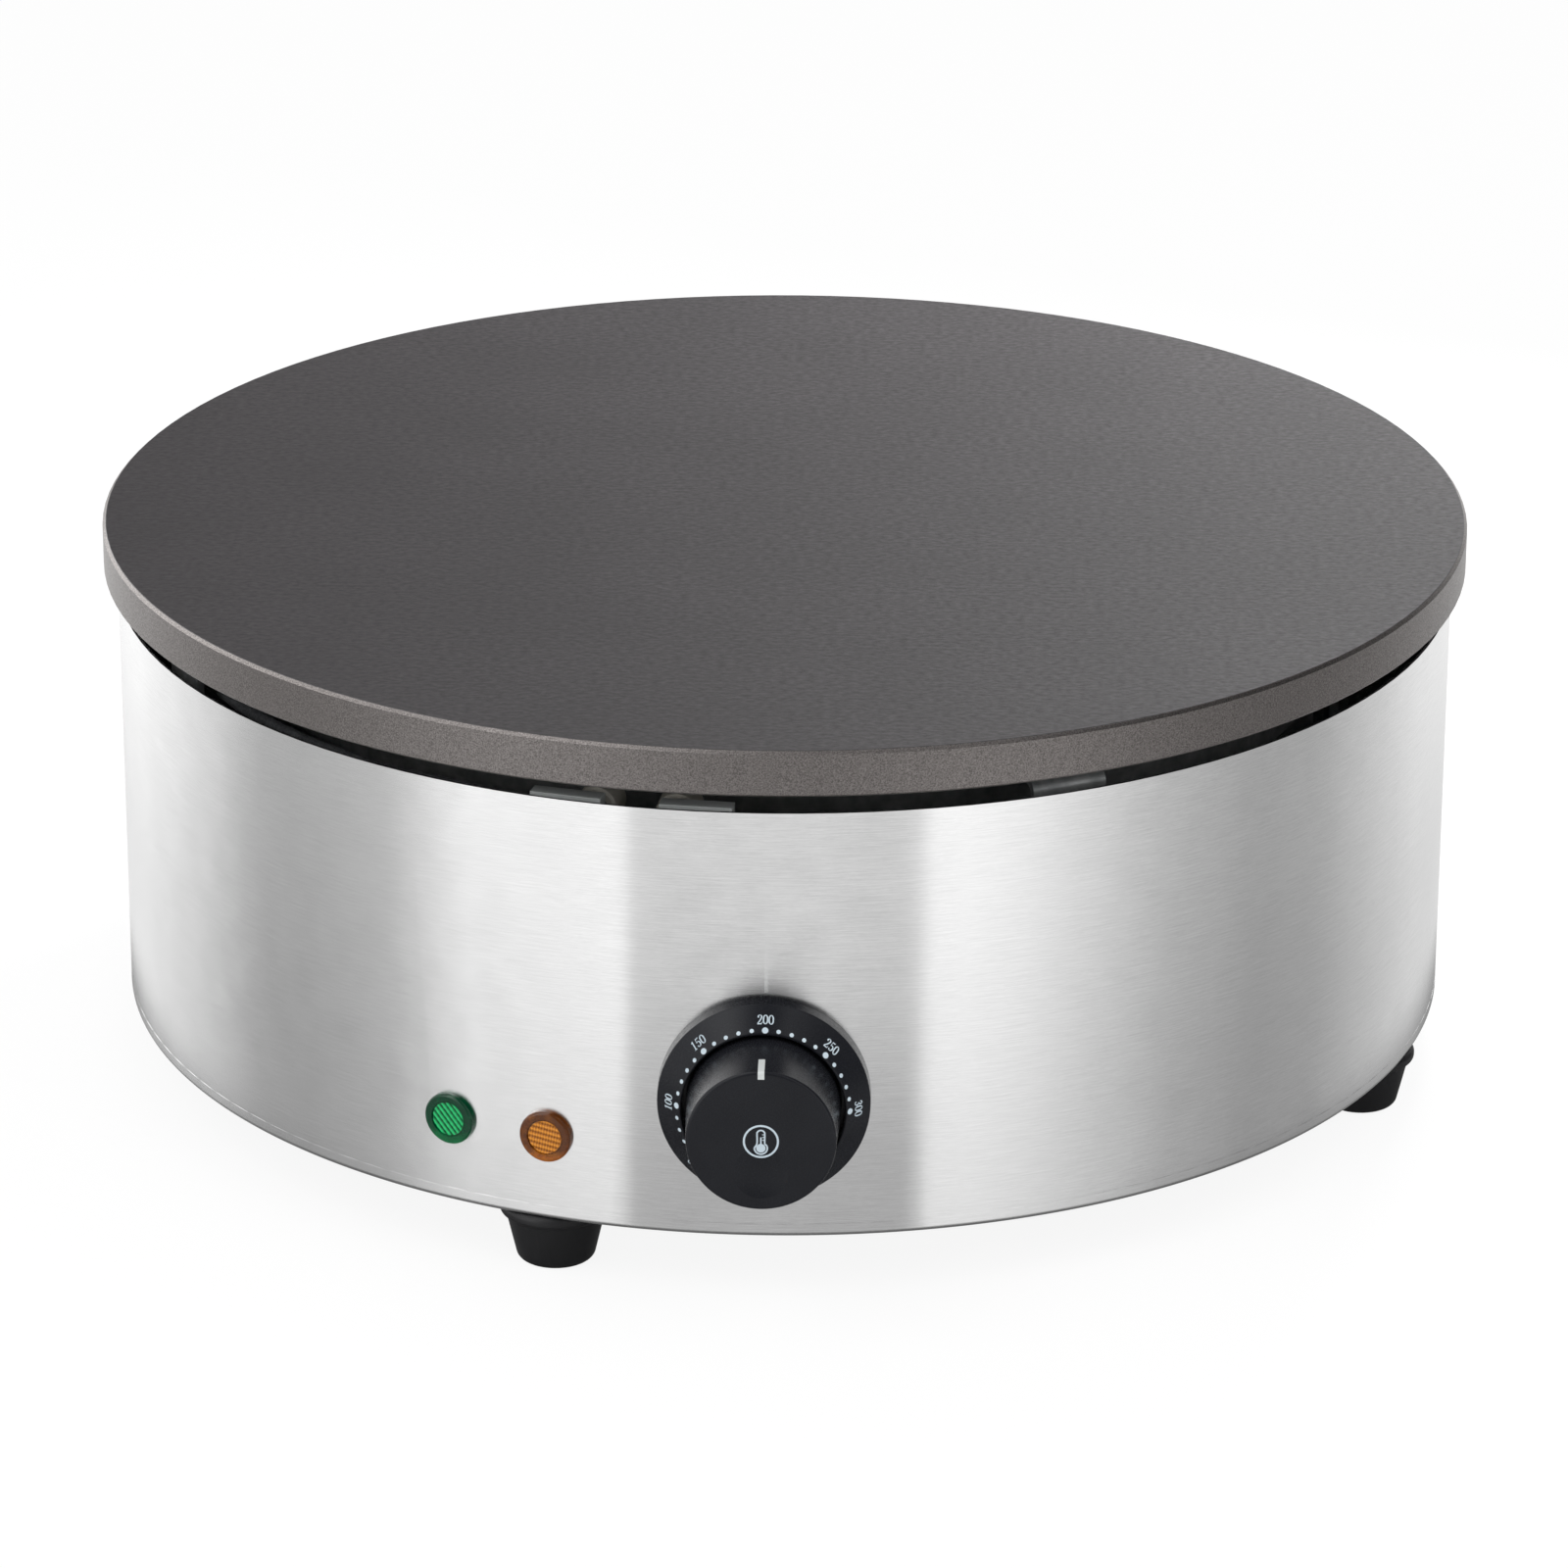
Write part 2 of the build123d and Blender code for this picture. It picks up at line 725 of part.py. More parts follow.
with BuildPart() as thermal_cutout:
    with BuildSketch(Plane.XY.offset(tray_bottom)):
        with Locations((0, -cutout_offset)):
            Circle(cutout_diameter / 2)
            SlotOverall(cutout_ear_pitch + cutout_ear_diameter, cutout_ear_diameter)
            with GridLocations(cutout_ear_pitch, 0, 2, 1):
                Circle(cutout_screw_diameter / 2 + hole_clearance, mode=Mode.SUBTRACT)
    extrude(amount=-cutout_ear_thickness)
    with BuildSketch(Plane.XY.offset(tray_bottom - cutout_ear_thickness)):
        with Locations((0, -cutout_offset)):
            Circle(cutout_neck_diameter / 2)
    extrude(amount=cutout_ear_thickness - cutout_height)
    with BuildSketch(Plane.XY.offset(tray_bottom - cutout_height)):
        with Locations((0, -cutout_offset)):
            with GridLocations(cutout_blade_pitch, 0, 2, 1):
                Rectangle(blade_thickness, blade_width)
    extrude(amount=-blade_length)
thermal_cutout.part.label = "thermal_cutout"
export_step(thermal_cutout.part, "parts/thermal_cutout.step")

with BuildPart() as cutout_screws:
    for screw_diameter, screw_length in (
        (cutout_screw_head_diameter, -cutout_screw_head_height),
        (cutout_screw_diameter, cutout_ear_thickness + tray_sheet),
    ):
        with BuildSketch(Plane.XY.offset(tray_bottom - cutout_ear_thickness)):
            with Locations((0, -cutout_offset)):
                with GridLocations(cutout_ear_pitch, 0, 2, 1):
                    Circle(screw_diameter / 2)
        extrude(amount=screw_length)
cutout_screws.part.label = "cutout_screws"
export_step(cutout_screws.part, "parts/cutout_screws.step")

# ---------------------------------------------------------------- brackets that carry the plate

bracket_tab_radius = bracket_outer_radius - bracket_tab_length
bracket_inner_radius = bracket_outer_radius - bracket_sheet
bracket_bend_inside = bracket_bend_radius - bracket_sheet
bracket_screw_seat = boss_face - bracket_sheet
bracket_foot_top = base_top + bracket_sheet
bracket_bolt_end = bracket_foot_top + base_nut_height + bolt_end_length

for place in range(bracket_count):
    bracket_azimuth = bracket_first_azimuth + place * full_turn / bracket_count
    with BuildPart() as support_bracket:
        with BuildSketch(radial_plane(bracket_azimuth)):
            add_outline(
                (bracket_tab_radius, base_top),
                (bracket_outer_radius, base_top, bracket_bend_radius),
                (bracket_outer_radius, boss_face, bracket_bend_radius),
                (bracket_tab_radius, boss_face),
                (bracket_tab_radius, bracket_screw_seat),
                (bracket_inner_radius, bracket_screw_seat, bracket_bend_inside),
                (bracket_inner_radius, bracket_foot_top, bracket_bend_inside),
                (bracket_tab_radius, bracket_foot_top),
            )
        extrude(amount=bracket_width / 2, both=True)
        web_middle = (base_top + boss_face) / 2
        with BuildSketch(wall_plane(bracket_azimuth, web_middle, bracket_outer_radius)):
            SlotOverall(bracket_slot_length, bracket_slot_width, rotation=90)
        extrude(amount=-bracket_sheet, mode=Mode.SUBTRACT)
        with BuildSketch(Plane.XY.offset(bracket_screw_seat)):
            with ring_of(1, bracket_hole_radius, bracket_azimuth):
                Circle(bracket_screw_diameter / 2 + hole_clearance)
        extrude(amount=bracket_sheet, mode=Mode.SUBTRACT)
        with BuildSketch(Plane.XY.offset(base_top)):
            with ring_of(1, bracket_hole_radius, bracket_azimuth):
                Circle(bracket_bolt_diameter / 2 + hole_clearance)
        extrude(amount=bracket_sheet, mode=Mode.SUBTRACT)
    support_bracket.part.label = f"support_bracket_{place + 1}"
    export_step(support_bracket.part, f"parts/support_bracket_{place + 1}.step")

with BuildPart() as support_screws:
    with BuildSketch(Plane.XY.offset(bracket_screw_seat)):
        with ring_of(bracket_count, bracket_hole_radius, bracket_first_azimuth):
            RegularPolygon(bracket_screw_head / 2, 6, major_radius=False)
    extrude(amount=-bracket_screw_head_height)
    with BuildSketch(Plane.XY.offset(bracket_screw_seat)):
        with ring_of(bracket_count, bracket_hole_radius, bracket_first_azimuth):
            Circle(bracket_screw_diameter / 2)
    extrude(amount=bracket_sheet + bracket_screw_grip - contact_gap)
support_screws.part.label = "support_screws"
export_step(support_screws.part, "parts/support_screws.step")

with BuildPart() as support_bolts:
    with BuildSketch(Plane.XY.offset(foot_height)):
        with ring_of(bracket_count, bracket_hole_radius, bracket_first_azimuth):
            Circle(bracket_bolt_head_diameter / 2)
    extrude(amount=-bracket_bolt_head_height)
    chamfer(support_bolts.edges().group_by(Axis.Z)[0], length=bolt_head_chamfer)
    with BuildSketch(Plane.XY.offset(foot_height)):
        with ring_of(bracket_count, bracket_hole_radius, bracket_first_azimuth):
            Circle(bracket_bolt_diameter / 2)
    extrude(amount=bracket_bolt_end - foot_height)
support_bolts.part.label = "support_bolts"
export_step(support_bolts.part, "parts/support_bolts.step")

# ---------------------------------------------------------------- housing and base


def add_base_holes(mode=Mode.ADD):
    """The holes that the feet and the brackets share with the housing's floor."""
    with ring_of(foot_count, foot_pitch_radius, foot_first_azimuth):
        Circle(foot_screw_diameter / 2 + hole_clearance, mode=mode)
    with ring_of(bracket_count, bracket_hole_radius, bracket_first_azimuth):
        Circle(bracket_bolt_diameter / 2 + hole_clearance, mode=mode)


with BuildPart() as body_shell:
    with BuildSketch(radial_plane(0)):
        add_outline(
            (shell_flange_radius, foot_height),
            (shell_radius, foot_height, shell_bend_radius),
            (shell_radius, shell_top),
            (shell_inner_radius, shell_top),
            (shell_inner_radius, base_underside, shell_bend_radius - shell_sheet),
            (shell_flange_radius, base_underside),
        )
    revolve(axis=Axis.Z)
    with BuildSketch(wall_plane(0, dial_height, 0)):
        Circle(yoke_bush_diameter / 2 + hole_clearance)
        with GridLocations(thermostat_screw_pitch, 0, 2, 1):
            Circle(thermostat_screw_diameter / 2 + hole_clearance)
    extrude(amount=shell_radius, mode=Mode.SUBTRACT)
    for azimuth in (green_lamp_azimuth, amber_lamp_azimuth):
        with BuildSketch(wall_plane(azimuth, lamp_height, 0)):
            Circle(lamp_neck_diameter / 2 + hole_clearance)
        extrude(amount=shell_radius, mode=Mode.SUBTRACT)
    with BuildSketch(wall_plane(180, gland_height, 0)):
        Circle(gland_thread_diameter / 2 + hole_clearance)
    extrude(amount=shell_radius, mode=Mode.SUBTRACT)
    with BuildSketch(Plane.XY.offset(foot_height)):
        add_base_holes()
    extrude(amount=shell_sheet, mode=Mode.SUBTRACT)
body_shell.part.label = "body_shell"
export_step(body_shell.part, "parts/body_shell.step")

with BuildPart() as base_plate:
    with BuildSketch(Plane.XY.offset(base_underside)):
        Circle(base_radius)
        add_base_holes(mode=Mode.SUBTRACT)
        with ring_of(vent_count, vent_middle_radius, 0):
            SlotOverall(vent_length, vent_width, mode=Mode.SUBTRACT)
        with Locations((0, block_position)):
            with GridLocations(block_fixing_pitch, 0, 2, 1):
                Circle(block_fixing_diameter / 2 + hole_clearance, mode=Mode.SUBTRACT)
    extrude(amount=base_sheet)
base_plate.part.label = "base_plate"
export_step(base_plate.part, "parts/base_plate.step")

# ---------------------------------------------------------------- feet
# A round flange bears on the housing's floor; below it the rubber tapers to a rounded toe.

foot_screw_end = base_top + base_nut_height + bolt_end_length
foot_screw_seat = foot_recess_depth - foot_washer_thickness
foot_bore_radius = foot_screw_diameter / 2 + hole_clearance
foot_neck_level = foot_height - foot_flange_thickness

for place in range(foot_count):
    foot_azimuth = foot_first_azimuth + place * full_turn / foot_count
    foot_centre = outward(foot_azimuth) * foot_pitch_radius
    foot_side = Plane(origin=foot_centre, x_dir=outward(foot_azimuth), z_dir=-along(foot_azimuth))
    with BuildPart() as foot:
        with BuildSketch(foot_side):
            add_outline(
                (foot_recess_diameter / 2, 0),
                (foot_toe_diameter / 2, 0, foot_toe_round),
                (foot_neck_diameter / 2, foot_neck_level),
                (foot_flange_diameter / 2, foot_neck_level, foot_flange_round),
                (foot_flange_diameter / 2, foot_height, foot_flange_round),
                (foot_bore_radius, foot_height),
                (foot_bore_radius, foot_recess_depth),
                (foot_recess_diameter / 2, foot_recess_depth),
            )
        revolve(axis=Axis(foot_centre, (0, 0, 1)))
    foot.part.label = f"foot_{place + 1}"
    export_step(foot.part, f"parts/foot_{place + 1}.step")

with BuildPart() as foot_washers:
    with BuildSketch(Plane.XY.offset(foot_screw_seat)):
        with ring_of(foot_count, foot_pitch_radius, foot_first_azimuth):
            Circle(foot_washer_diameter / 2)
            Circle(foot_bore_radius, mode=Mode.SUBTRACT)
    extrude(amount=foot_washer_thickness)
foot_washers.part.label = "foot_washers"
export_step(foot_washers.part, "parts/foot_washers.step")

with BuildPart() as foot_screws:
    with BuildSketch(Plane.XY.offset(foot_screw_seat)):
        with ring_of(foot_count, foot_pitch_radius, foot_first_azimuth):
            Circle(foot_screw_head_diameter / 2)
    extrude(amount=-foot_screw_head_height)
    chamfer(foot_screws.edges().group_by(Axis.Z)[0], length=bolt_head_chamfer)
    with BuildSketch(Plane.XY.offset(foot_screw_seat)):
        with ring_of(foot_count, foot_pitch_radius, foot_first_azimuth):
            Circle(foot_screw_diameter / 2)
    extrude(amount=foot_screw_end - foot_screw_seat)
foot_screws.part.label = "foot_screws"
export_step(foot_screws.part, "parts/foot_screws.step")

with BuildPart() as base_nuts:
    with BuildSketch(Plane.XY.offset(base_top)):
        with ring_of(foot_count, foot_pitch_radius, foot_first_azimuth):
            add_nut_outline(base_nut_across_flats, foot_screw_diameter + 2 * thread_clearance)
    extrude(amount=base_nut_height)
    with BuildSketch(Plane.XY.offset(bracket_foot_top)):
        with ring_of(bracket_count, bracket_hole_radius, bracket_first_azimuth):
            add_nut_outline(base_nut_across_flats, bracket_bolt_diameter + 2 * thread_clearance)
    extrude(amount=base_nut_height)
    with BuildSketch(Plane.XY.offset(base_top + lug_sheet)):
        with ring_of(1, earth_radius, earth_azimuth):
            add_nut_outline(base_nut_across_flats, earth_stud_diameter + 2 * thread_clearance)
    extrude(amount=base_nut_height)
base_nuts.part.label = "base_nuts"
export_step(base_nuts.part, "parts/base_nuts.step")

# ---------------------------------------------------------------- dial bezel
# A moulded ring: the conical face carries the scale, and the back follows the round wall.

dial_axis = wall_axis(0, dial_height)
dial_side = radial_plane(0, dial_height)
bezel_radius = bezel_diameter / 2
bezel_mouth_radius = bezel_mouth_diameter / 2
bezel_hub_radius = bezel_hub_diameter / 2
bezel_root_reach = sqrt(shell_radius**2 - bezel_radius**2) - bezel_wall
bezel_slope = bezel_face_rise / (bezel_radius - bezel_mouth_radius)
bezel_skin = bezel_wall * hypot(1, bezel_slope)
cavity_outer_radius = bezel_radius - bezel_wall
cavity_inner_radius = bezel_mouth_radius + bezel_wall

with BuildPart() as dial_bezel:
    with BuildSketch(dial_side):
        add_outline(
            (bezel_root_reach, bezel_hub_radius),
            (dial_floor_reach, bezel_hub_radius),
            (dial_floor_reach, bezel_mouth_radius),
            (dial_mouth_reach, bezel_mouth_radius, bezel_rim_round),
            (dial_rim_reach, bezel_radius, bezel_rim_round),
            (bezel_root_reach, bezel_radius),
        )
    revolve(axis=dial_axis)
    with BuildSketch(dial_side):
        add_outline(
            (bezel_root_reach, cavity_inner_radius),
            (dial_mouth_reach - bezel_skin - bezel_slope * bezel_wall, cavity_inner_radius),
            (dial_rim_reach - bezel_skin + bezel_slope * bezel_wall, cavity_outer_radius),
            (bezel_root_reach, cavity_outer_radius),
        )
    revolve(axis=dial_axis, mode=Mode.SUBTRACT)
    with BuildSketch(Plane.XY):
        Circle(shell_radius + seat_gap)
    extrude(amount=shell_top, mode=Mode.SUBTRACT)
    with BuildSketch(wall_plane(0, dial_height, dial_floor_reach)):
        with GridLocations(thermostat_screw_pitch, 0, 2, 1):
            Circle(thermostat_screw_diameter / 2 + hole_clearance)
    extrude(amount=-2 * bezel_floor, mode=Mode.SUBTRACT)
dial_bezel.part.label = "dial_bezel"
export_step(dial_bezel.part, "parts/dial_bezel.step")

# ---------------------------------------------------------------- control knob
# A hollow moulding on a D-shaped socket, stiffened by ribs, with a finger dimple in its face.

knob_skirt_radius = knob_skirt_diameter / 2
knob_face_radius = knob_face_diameter / 2
knob_taper = (knob_skirt_radius - knob_face_radius) / knob_length
knob_roof_reach = knob_face_reach - knob_wall - dimple_depth
knob_roof_radius = knob_face_radius - knob_wall + knob_taper * (knob_face_reach - knob_roof_reach)
knob_hub_reach = knob_back_reach + knob_hub_setback
knob_rib_reach = knob_back_reach + knob_rib_setback
pointer_start_reach = knob_face_reach - pointer_side_length
pointer_floor_reach = knob_face_reach - pointer_depth
pointer_floor_radius = knob_face_radius - pointer_depth
pointer_tip_radius = knob_face_radius - pointer_face_length
spindle_flat_level = spindle_diameter / 2 - spindle_flat_depth
socket_flat_level = spindle_flat_level + knob_spring_sheet + 2 * running_clearance
dimple_radius = (dimple_width**2 / 4 + dimple_depth**2) / (2 * dimple_depth)


def add_pointer_window(clearance):
    """Side view of the groove that the pointer lies in, drawn in by a clearance."""
    add_outline(
        (pointer_start_reach + clearance, pointer_floor_radius + clearance),
        (pointer_floor_reach + clearance, pointer_floor_radius + clearance),
        (pointer_floor_reach + clearance, pointer_tip_radius + clearance),
        (knob_face_reach + pointer_depth, pointer_tip_radius + clearance),
        (knob_face_reach + pointer_depth, knob_skirt_radius + pointer_depth),
        (pointer_start_reach + clearance, knob_skirt_radius + pointer_depth),
    )


def add_knob_outline():
    """Half of the knob's outer outline, with its rounded front edge."""
    add_outline(
        (knob_back_reach, 0),
        (knob_back_reach, knob_skirt_radius),
        (knob_face_reach, knob_face_radius, knob_edge_round),
        (knob_face_reach, 0),
    )


with BuildPart() as control_knob:
    with BuildSketch(dial_side):
        add_knob_outline()
    revolve(axis=dial_axis)
    with BuildSketch(dial_side):
        add_outline(
            (knob_back_reach, 0),
            (knob_back_reach, knob_skirt_radius - knob_wall),
            (knob_roof_reach, knob_roof_radius),
            (knob_roof_reach, 0),
        )
    revolve(axis=dial_axis, mode=Mode.SUBTRACT)
    with BuildSketch(wall_plane(0, dial_height, knob_roof_reach)):
        Circle(knob_hub_diameter / 2)
    extrude(amount=knob_hub_reach - knob_roof_reach)
    with BuildSketch(wall_plane(0, dial_height, knob_roof_reach)):
        with PolarLocations(0, knob_rib_count, start_angle=180 / knob_rib_count):
            Rectangle(
                knob_face_radius - knob_wall / 2,
                knob_rib_thickness,
                align=(Align.MIN, Align.CENTER),
            )
    extrude(amount=knob_rib_reach - knob_roof_reach)
    with BuildSketch(wall_plane(0, dial_height, knob_hub_reach)):
        Circle(spindle_diameter / 2 + running_clearance)
        with Locations((0, socket_flat_level)):
            Rectangle(
                knob_hub_diameter,
                knob_hub_diameter,
                align=(Align.CENTER, Align.MIN),
                mode=Mode.SUBTRACT,
            )
    extrude(amount=knob_socket_depth, mode=Mode.SUBTRACT)
    with BuildSketch(dial_side):
        add_pointer_window(0)
    extrude(amount=pointer_width / 2, both=True, mode=Mode.SUBTRACT)
    with Locations((0, dimple_depth - dimple_radius - knob_face_reach, dial_height - dimple_offset)):
        Sphere(dimple_radius, mode=Mode.SUBTRACT)
control_knob.part.label = "control_knob"
export_step(control_knob.part, "parts/control_knob.step")

with BuildPart() as knob_pointer:
    with BuildSketch(dial_side):
        add_pointer_window(seat_gap)
    extrude(amount=pointer_width / 2 - seat_gap, both=True)
    with BuildSketch(dial_side):
        add_knob_outline()
    revolve(axis=dial_axis, mode=Mode.INTERSECT)
knob_pointer.part.label = "knob_pointer"
export_step(knob_pointer.part, "parts/knob_pointer.step")

with BuildPart() as knob_spring:
    with BuildSketch(wall_plane(0, dial_height, spindle_end_reach - knob_spring_length)):
        with Locations((0, spindle_flat_level + running_clearance)):
            Rectangle(knob_spring_width, knob_spring_sheet, align=(Align.CENTER, Align.MIN))
    extrude(amount=knob_spring_length)
knob_spring.part.label = "knob_spring"
export_step(knob_spring.part, "parts/knob_spring.step")

# ---------------------------------------------------------------- thermostat

with BuildPart() as thermostat_spindle:
    spindle_tail_reach = thermostat_reach - spindle_tail_length
    collar_face_reach = thermostat_reach - running_clearance
    with BuildSketch(wall_plane(0, dial_height, spindle_tail_reach)):
        Circle(spindle_diameter / 2)
    extrude(amount=spindle_end_reach - spindle_tail_reach)
    with BuildSketch(wall_plane(0, dial_height, collar_face_reach)):
        Circle(spindle_collar_diameter / 2)
    extrude(amount=-spindle_collar_thickness)
    with BuildSketch(wall_plane(0, dial_height, spindle_end_reach)):
        with Locations((0, spindle_flat_level)):
            Rectangle(spindle_diameter, spindle_diameter, align=(Align.CENTER, Align.MIN))
    extrude(amount=-spindle_flat_length, mode=Mode.SUBTRACT)
thermostat_spindle.part.label = "thermostat_spindle"
export_step(thermostat_spindle.part, "parts/thermostat_spindle.step")

with BuildPart() as thermostat_yoke:
    yoke_bush_reach = dial_floor_reach + yoke_bush_rise
    with BuildSketch(wall_plane(0, dial_height, thermostat_reach)):
        Rectangle(yoke_width, yoke_height)
    extrude(amount=yoke_sheet)
    with BuildSketch(wall_plane(0, dial_height, thermostat_reach)):
        with GridLocations(yoke_width - yoke_sheet, 0, 2, 1):
            Rectangle(yoke_sheet, yoke_height)
    extrude(amount=-yoke_arm_length)
    with BuildSketch(wall_plane(0, dial_height, thermostat_reach)):
        Circle(yoke_bush_diameter / 2)
    extrude(amount=yoke_bush_reach - thermostat_reach)
    with BuildSketch(wall_plane(0, dial_height, thermostat_reach)):
        Circle(spindle_diameter / 2 + running_clearance)
        with GridLocations(thermostat_screw_pitch, 0, 2, 1):
            Circle(thermostat_screw_diameter / 2 + thread_clearance)
    extrude(amount=yoke_bush_reach - thermostat_reach, mode=Mode.SUBTRACT)
thermostat_yoke.part.label = "thermostat_yoke"
export_step(thermostat_yoke.part, "parts/thermostat_yoke.step")

with BuildPart() as thermostat_body:
    with BuildSketch(wall_plane(0, dial_height, thermostat_reach)):
        RectangleRounded(thermostat_width, thermostat_height, thermostat_corner)
    extrude(amount=-thermostat_depth)
    with BuildSketch(wall_plane(0, dial_height, thermostat_reach)):
        Circle(spindle_collar_diameter / 2 + hole_clearance)
    extrude(amount=-spindle_collar_thickness - 2 * running_clearance, mode=Mode.SUBTRACT)
    with BuildSketch(wall_plane(0, dial_height, thermostat_reach)):
        Circle(spindle_diameter / 2 + running_clearance)
    extrude(amount=-spindle_tail_length - contact_gap, mode=Mode.SUBTRACT)
    with BuildSketch(wall_plane(0, dial_height, thermostat_reach)):
        with GridLocations(thermostat_screw_pitch, 0, 2, 1):
            Circle(thermostat_screw_diameter / 2 + hole_clearance)
    extrude(amount=-thermostat_screw_pocket, mode=Mode.SUBTRACT)
thermostat_body.part.label = "thermostat_body"
export_step(thermostat_body.part, "parts/thermostat_body.step")

with BuildPart() as thermostat_diaphragm:
    with BuildSketch(wall_plane(0, dial_height, thermostat_back_reach)):
        Circle(diaphragm_diameter / 2)
    extrude(amount=-diaphragm_thickness)
    rear_rim = thermostat_diaphragm.edges().group_by(Axis.Y)[-1]
    fillet(rear_rim, radius=diaphragm_round)
thermostat_diaphragm.part.label = "thermostat_diaphragm"
export_step(thermostat_diaphragm.part, "parts/thermostat_diaphragm.step")

with BuildPart() as thermostat_terminals:
    with BuildSketch(wall_plane(0, dial_height, thermostat_back_reach)):
        with GridLocations(0, 2 * blade_offset, 1, 2):
            Rectangle(blade_width, blade_thickness)
    extrude(amount=-blade_length)
thermostat_terminals.part.label = "thermostat_terminals"
export_step(thermostat_terminals.part, "parts/thermostat_terminals.step")

with BuildPart() as thermostat_screws:
    with BuildSketch(wall_plane(0, dial_height, dial_floor_reach)):
        with GridLocations(thermostat_screw_pitch, 0, 2, 1):
            Circle(thermostat_screw_head_diameter / 2)
    extrude(amount=thermostat_screw_head_height)
    fillet(thermostat_screws.edges().group_by(Axis.Y)[0], radius=thermostat_screw_head_round)
    with BuildSketch(wall_plane(0, dial_height, dial_floor_reach)):
        with GridLocations(thermostat_screw_pitch, 0, 2, 1):
            Circle(thermostat_screw_diameter / 2)
    extrude(amount=thermostat_reach - thermostat_screw_bite - dial_floor_reach)
thermostat_screws.part.label = "thermostat_screws"
export_step(thermostat_screws.part, "parts/thermostat_screws.step")

# ---------------------------------------------------------------- pilot lamps
# Each lens clips a raised clear rim against the wall; its neck takes the lamp body inside.

lamp_azimuths = (green_lamp_azimuth, amber_lamp_azimuth)
lamp_bore_diameter = lamp_neck_diameter - 2 * lamp_neck_wall
lamp_rim_reach = shell_radius + lamp_rim_thickness
lamp_window_reach = lamp_rim_reach - lamp_window_setback
lamp_cap_reach = lamp_window_reach - lamp_window_wall
lamp_root_reach = sqrt(shell_radius**2 - (lamp_rim_diameter / 2) ** 2) - contact_gap
lamp_neck_reach = shell_radius - lamp_neck_length
lamp_body_reach = lamp_neck_reach - lamp_body_length
lamp_retainer_reach = sqrt(shell_inner_radius**2 - (lamp_retainer_diameter / 2) ** 2) - contact_gap


def add_lamp_lens(azimuth):
    """Lens with its raised rim, sunk window and hollow neck, bedded on the round wall."""
    side = radial_plane(azimuth, lamp_height)
    with BuildSketch(side) as rim:
        add_outline(
            (lamp_root_reach, 0),
            (lamp_window_reach, 0),
            (lamp_window_reach, lamp_window_diameter / 2),
            (lamp_rim_reach, lamp_window_diameter / 2),
            (lamp_rim_reach, lamp_rim_diameter / 2, lamp_rim_round),
            (lamp_root_reach, lamp_rim_diameter / 2),
        )
    revolve(rim.sketch, axis=wall_axis(azimuth, lamp_height))
    with BuildSketch(Plane.XY) as wall:
        Circle(shell_radius + seat_gap)
    extrude(wall.sketch, amount=shell_top, mode=Mode.SUBTRACT)
    with BuildSketch(side) as neck:
        add_outline(
            (lamp_neck_reach, lamp_bore_diameter / 2),
            (lamp_cap_reach, lamp_bore_diameter / 2),
            (lamp_cap_reach, 0),
            (lamp_window_reach, 0),
            (lamp_window_reach, lamp_neck_diameter / 2),
            (lamp_neck_reach, lamp_neck_diameter / 2),
        )
    revolve(neck.sketch, axis=wall_axis(azimuth, lamp_height))


with BuildPart() as green_lamp_lens:
    add_lamp_lens(green_lamp_azimuth)
green_lamp_lens.part.label = "green_lamp_lens"
export_step(green_lamp_lens.part, "parts/green_lamp_lens.step")

with BuildPart() as amber_lamp_lens:
    add_lamp_lens(amber_lamp_azimuth)
amber_lamp_lens.part.label = "amber_lamp_lens"
export_step(amber_lamp_lens.part, "parts/amber_lamp_lens.step")

with BuildPart() as lamp_bodies:
    for azimuth in lamp_azimuths:
        with BuildSketch(wall_plane(azimuth, lamp_height, lamp_body_reach)):
            Circle(lamp_neck_diameter / 2)
        extrude(amount=lamp_body_length)
        with BuildSketch(wall_plane(azimuth, lamp_height, lamp_neck_reach)):
            Circle(lamp_bore_diameter / 2 - running_clearance)
        extrude(amount=lamp_body_plug)
        with BuildSketch(wall_plane(azimuth, lamp_height, lamp_body_reach)):
            with GridLocations(2 * lamp_lead_spread, 0, 2, 1):
                Circle(lamp_lead_diameter / 2 + running_clearance)
        extrude(amount=lamp_lead_grip, mode=Mode.SUBTRACT)
lamp_bodies.part.label = "lamp_bodies"
export_step(lamp_bodies.part, "parts/lamp_bodies.step")

with BuildPart() as lamp_retainers:
    for azimuth in lamp_azimuths:
        with BuildSketch(wall_plane(azimuth, lamp_height, lamp_retainer_reach)):
            Circle(lamp_retainer_diameter / 2)
            Circle(lamp_neck_diameter / 2 + thread_clearance, mode=Mode.SUBTRACT)
        extrude(amount=-lamp_retainer_thickness)
lamp_retainers.part.label = "lamp_retainers"
export_step(lamp_retainers.part, "parts/lamp_retainers.step")

# ---------------------------------------------------------------- cable gland at the back

gland_axis = wall_axis(180, gland_height)
gland_side = radial_plane(180, gland_height)
gland_face_reach = shell_radius + seat_gap
gland_flange_reach = gland_face_reach + gland_flange_thickness
gland_sleeve_reach = gland_flange_reach + gland_sleeve_length
gland_inner_reach = shell_inner_radius - gland_inner_length
gland_throat_reach = shell_inner_radius + gland_throat_length
gland_cap_reach = gland_flange_reach + gland_cap_gap
gland_end_reach = shell_radius + gland_projection
seal_end_reach = gland_throat_reach + seal_length
gland_nut_corner = gland_nut_across_flats / 2 / cos(radians(30))
gland_nut_reach = sqrt(shell_inner_radius**2 - gland_nut_corner**2) - seat_gap

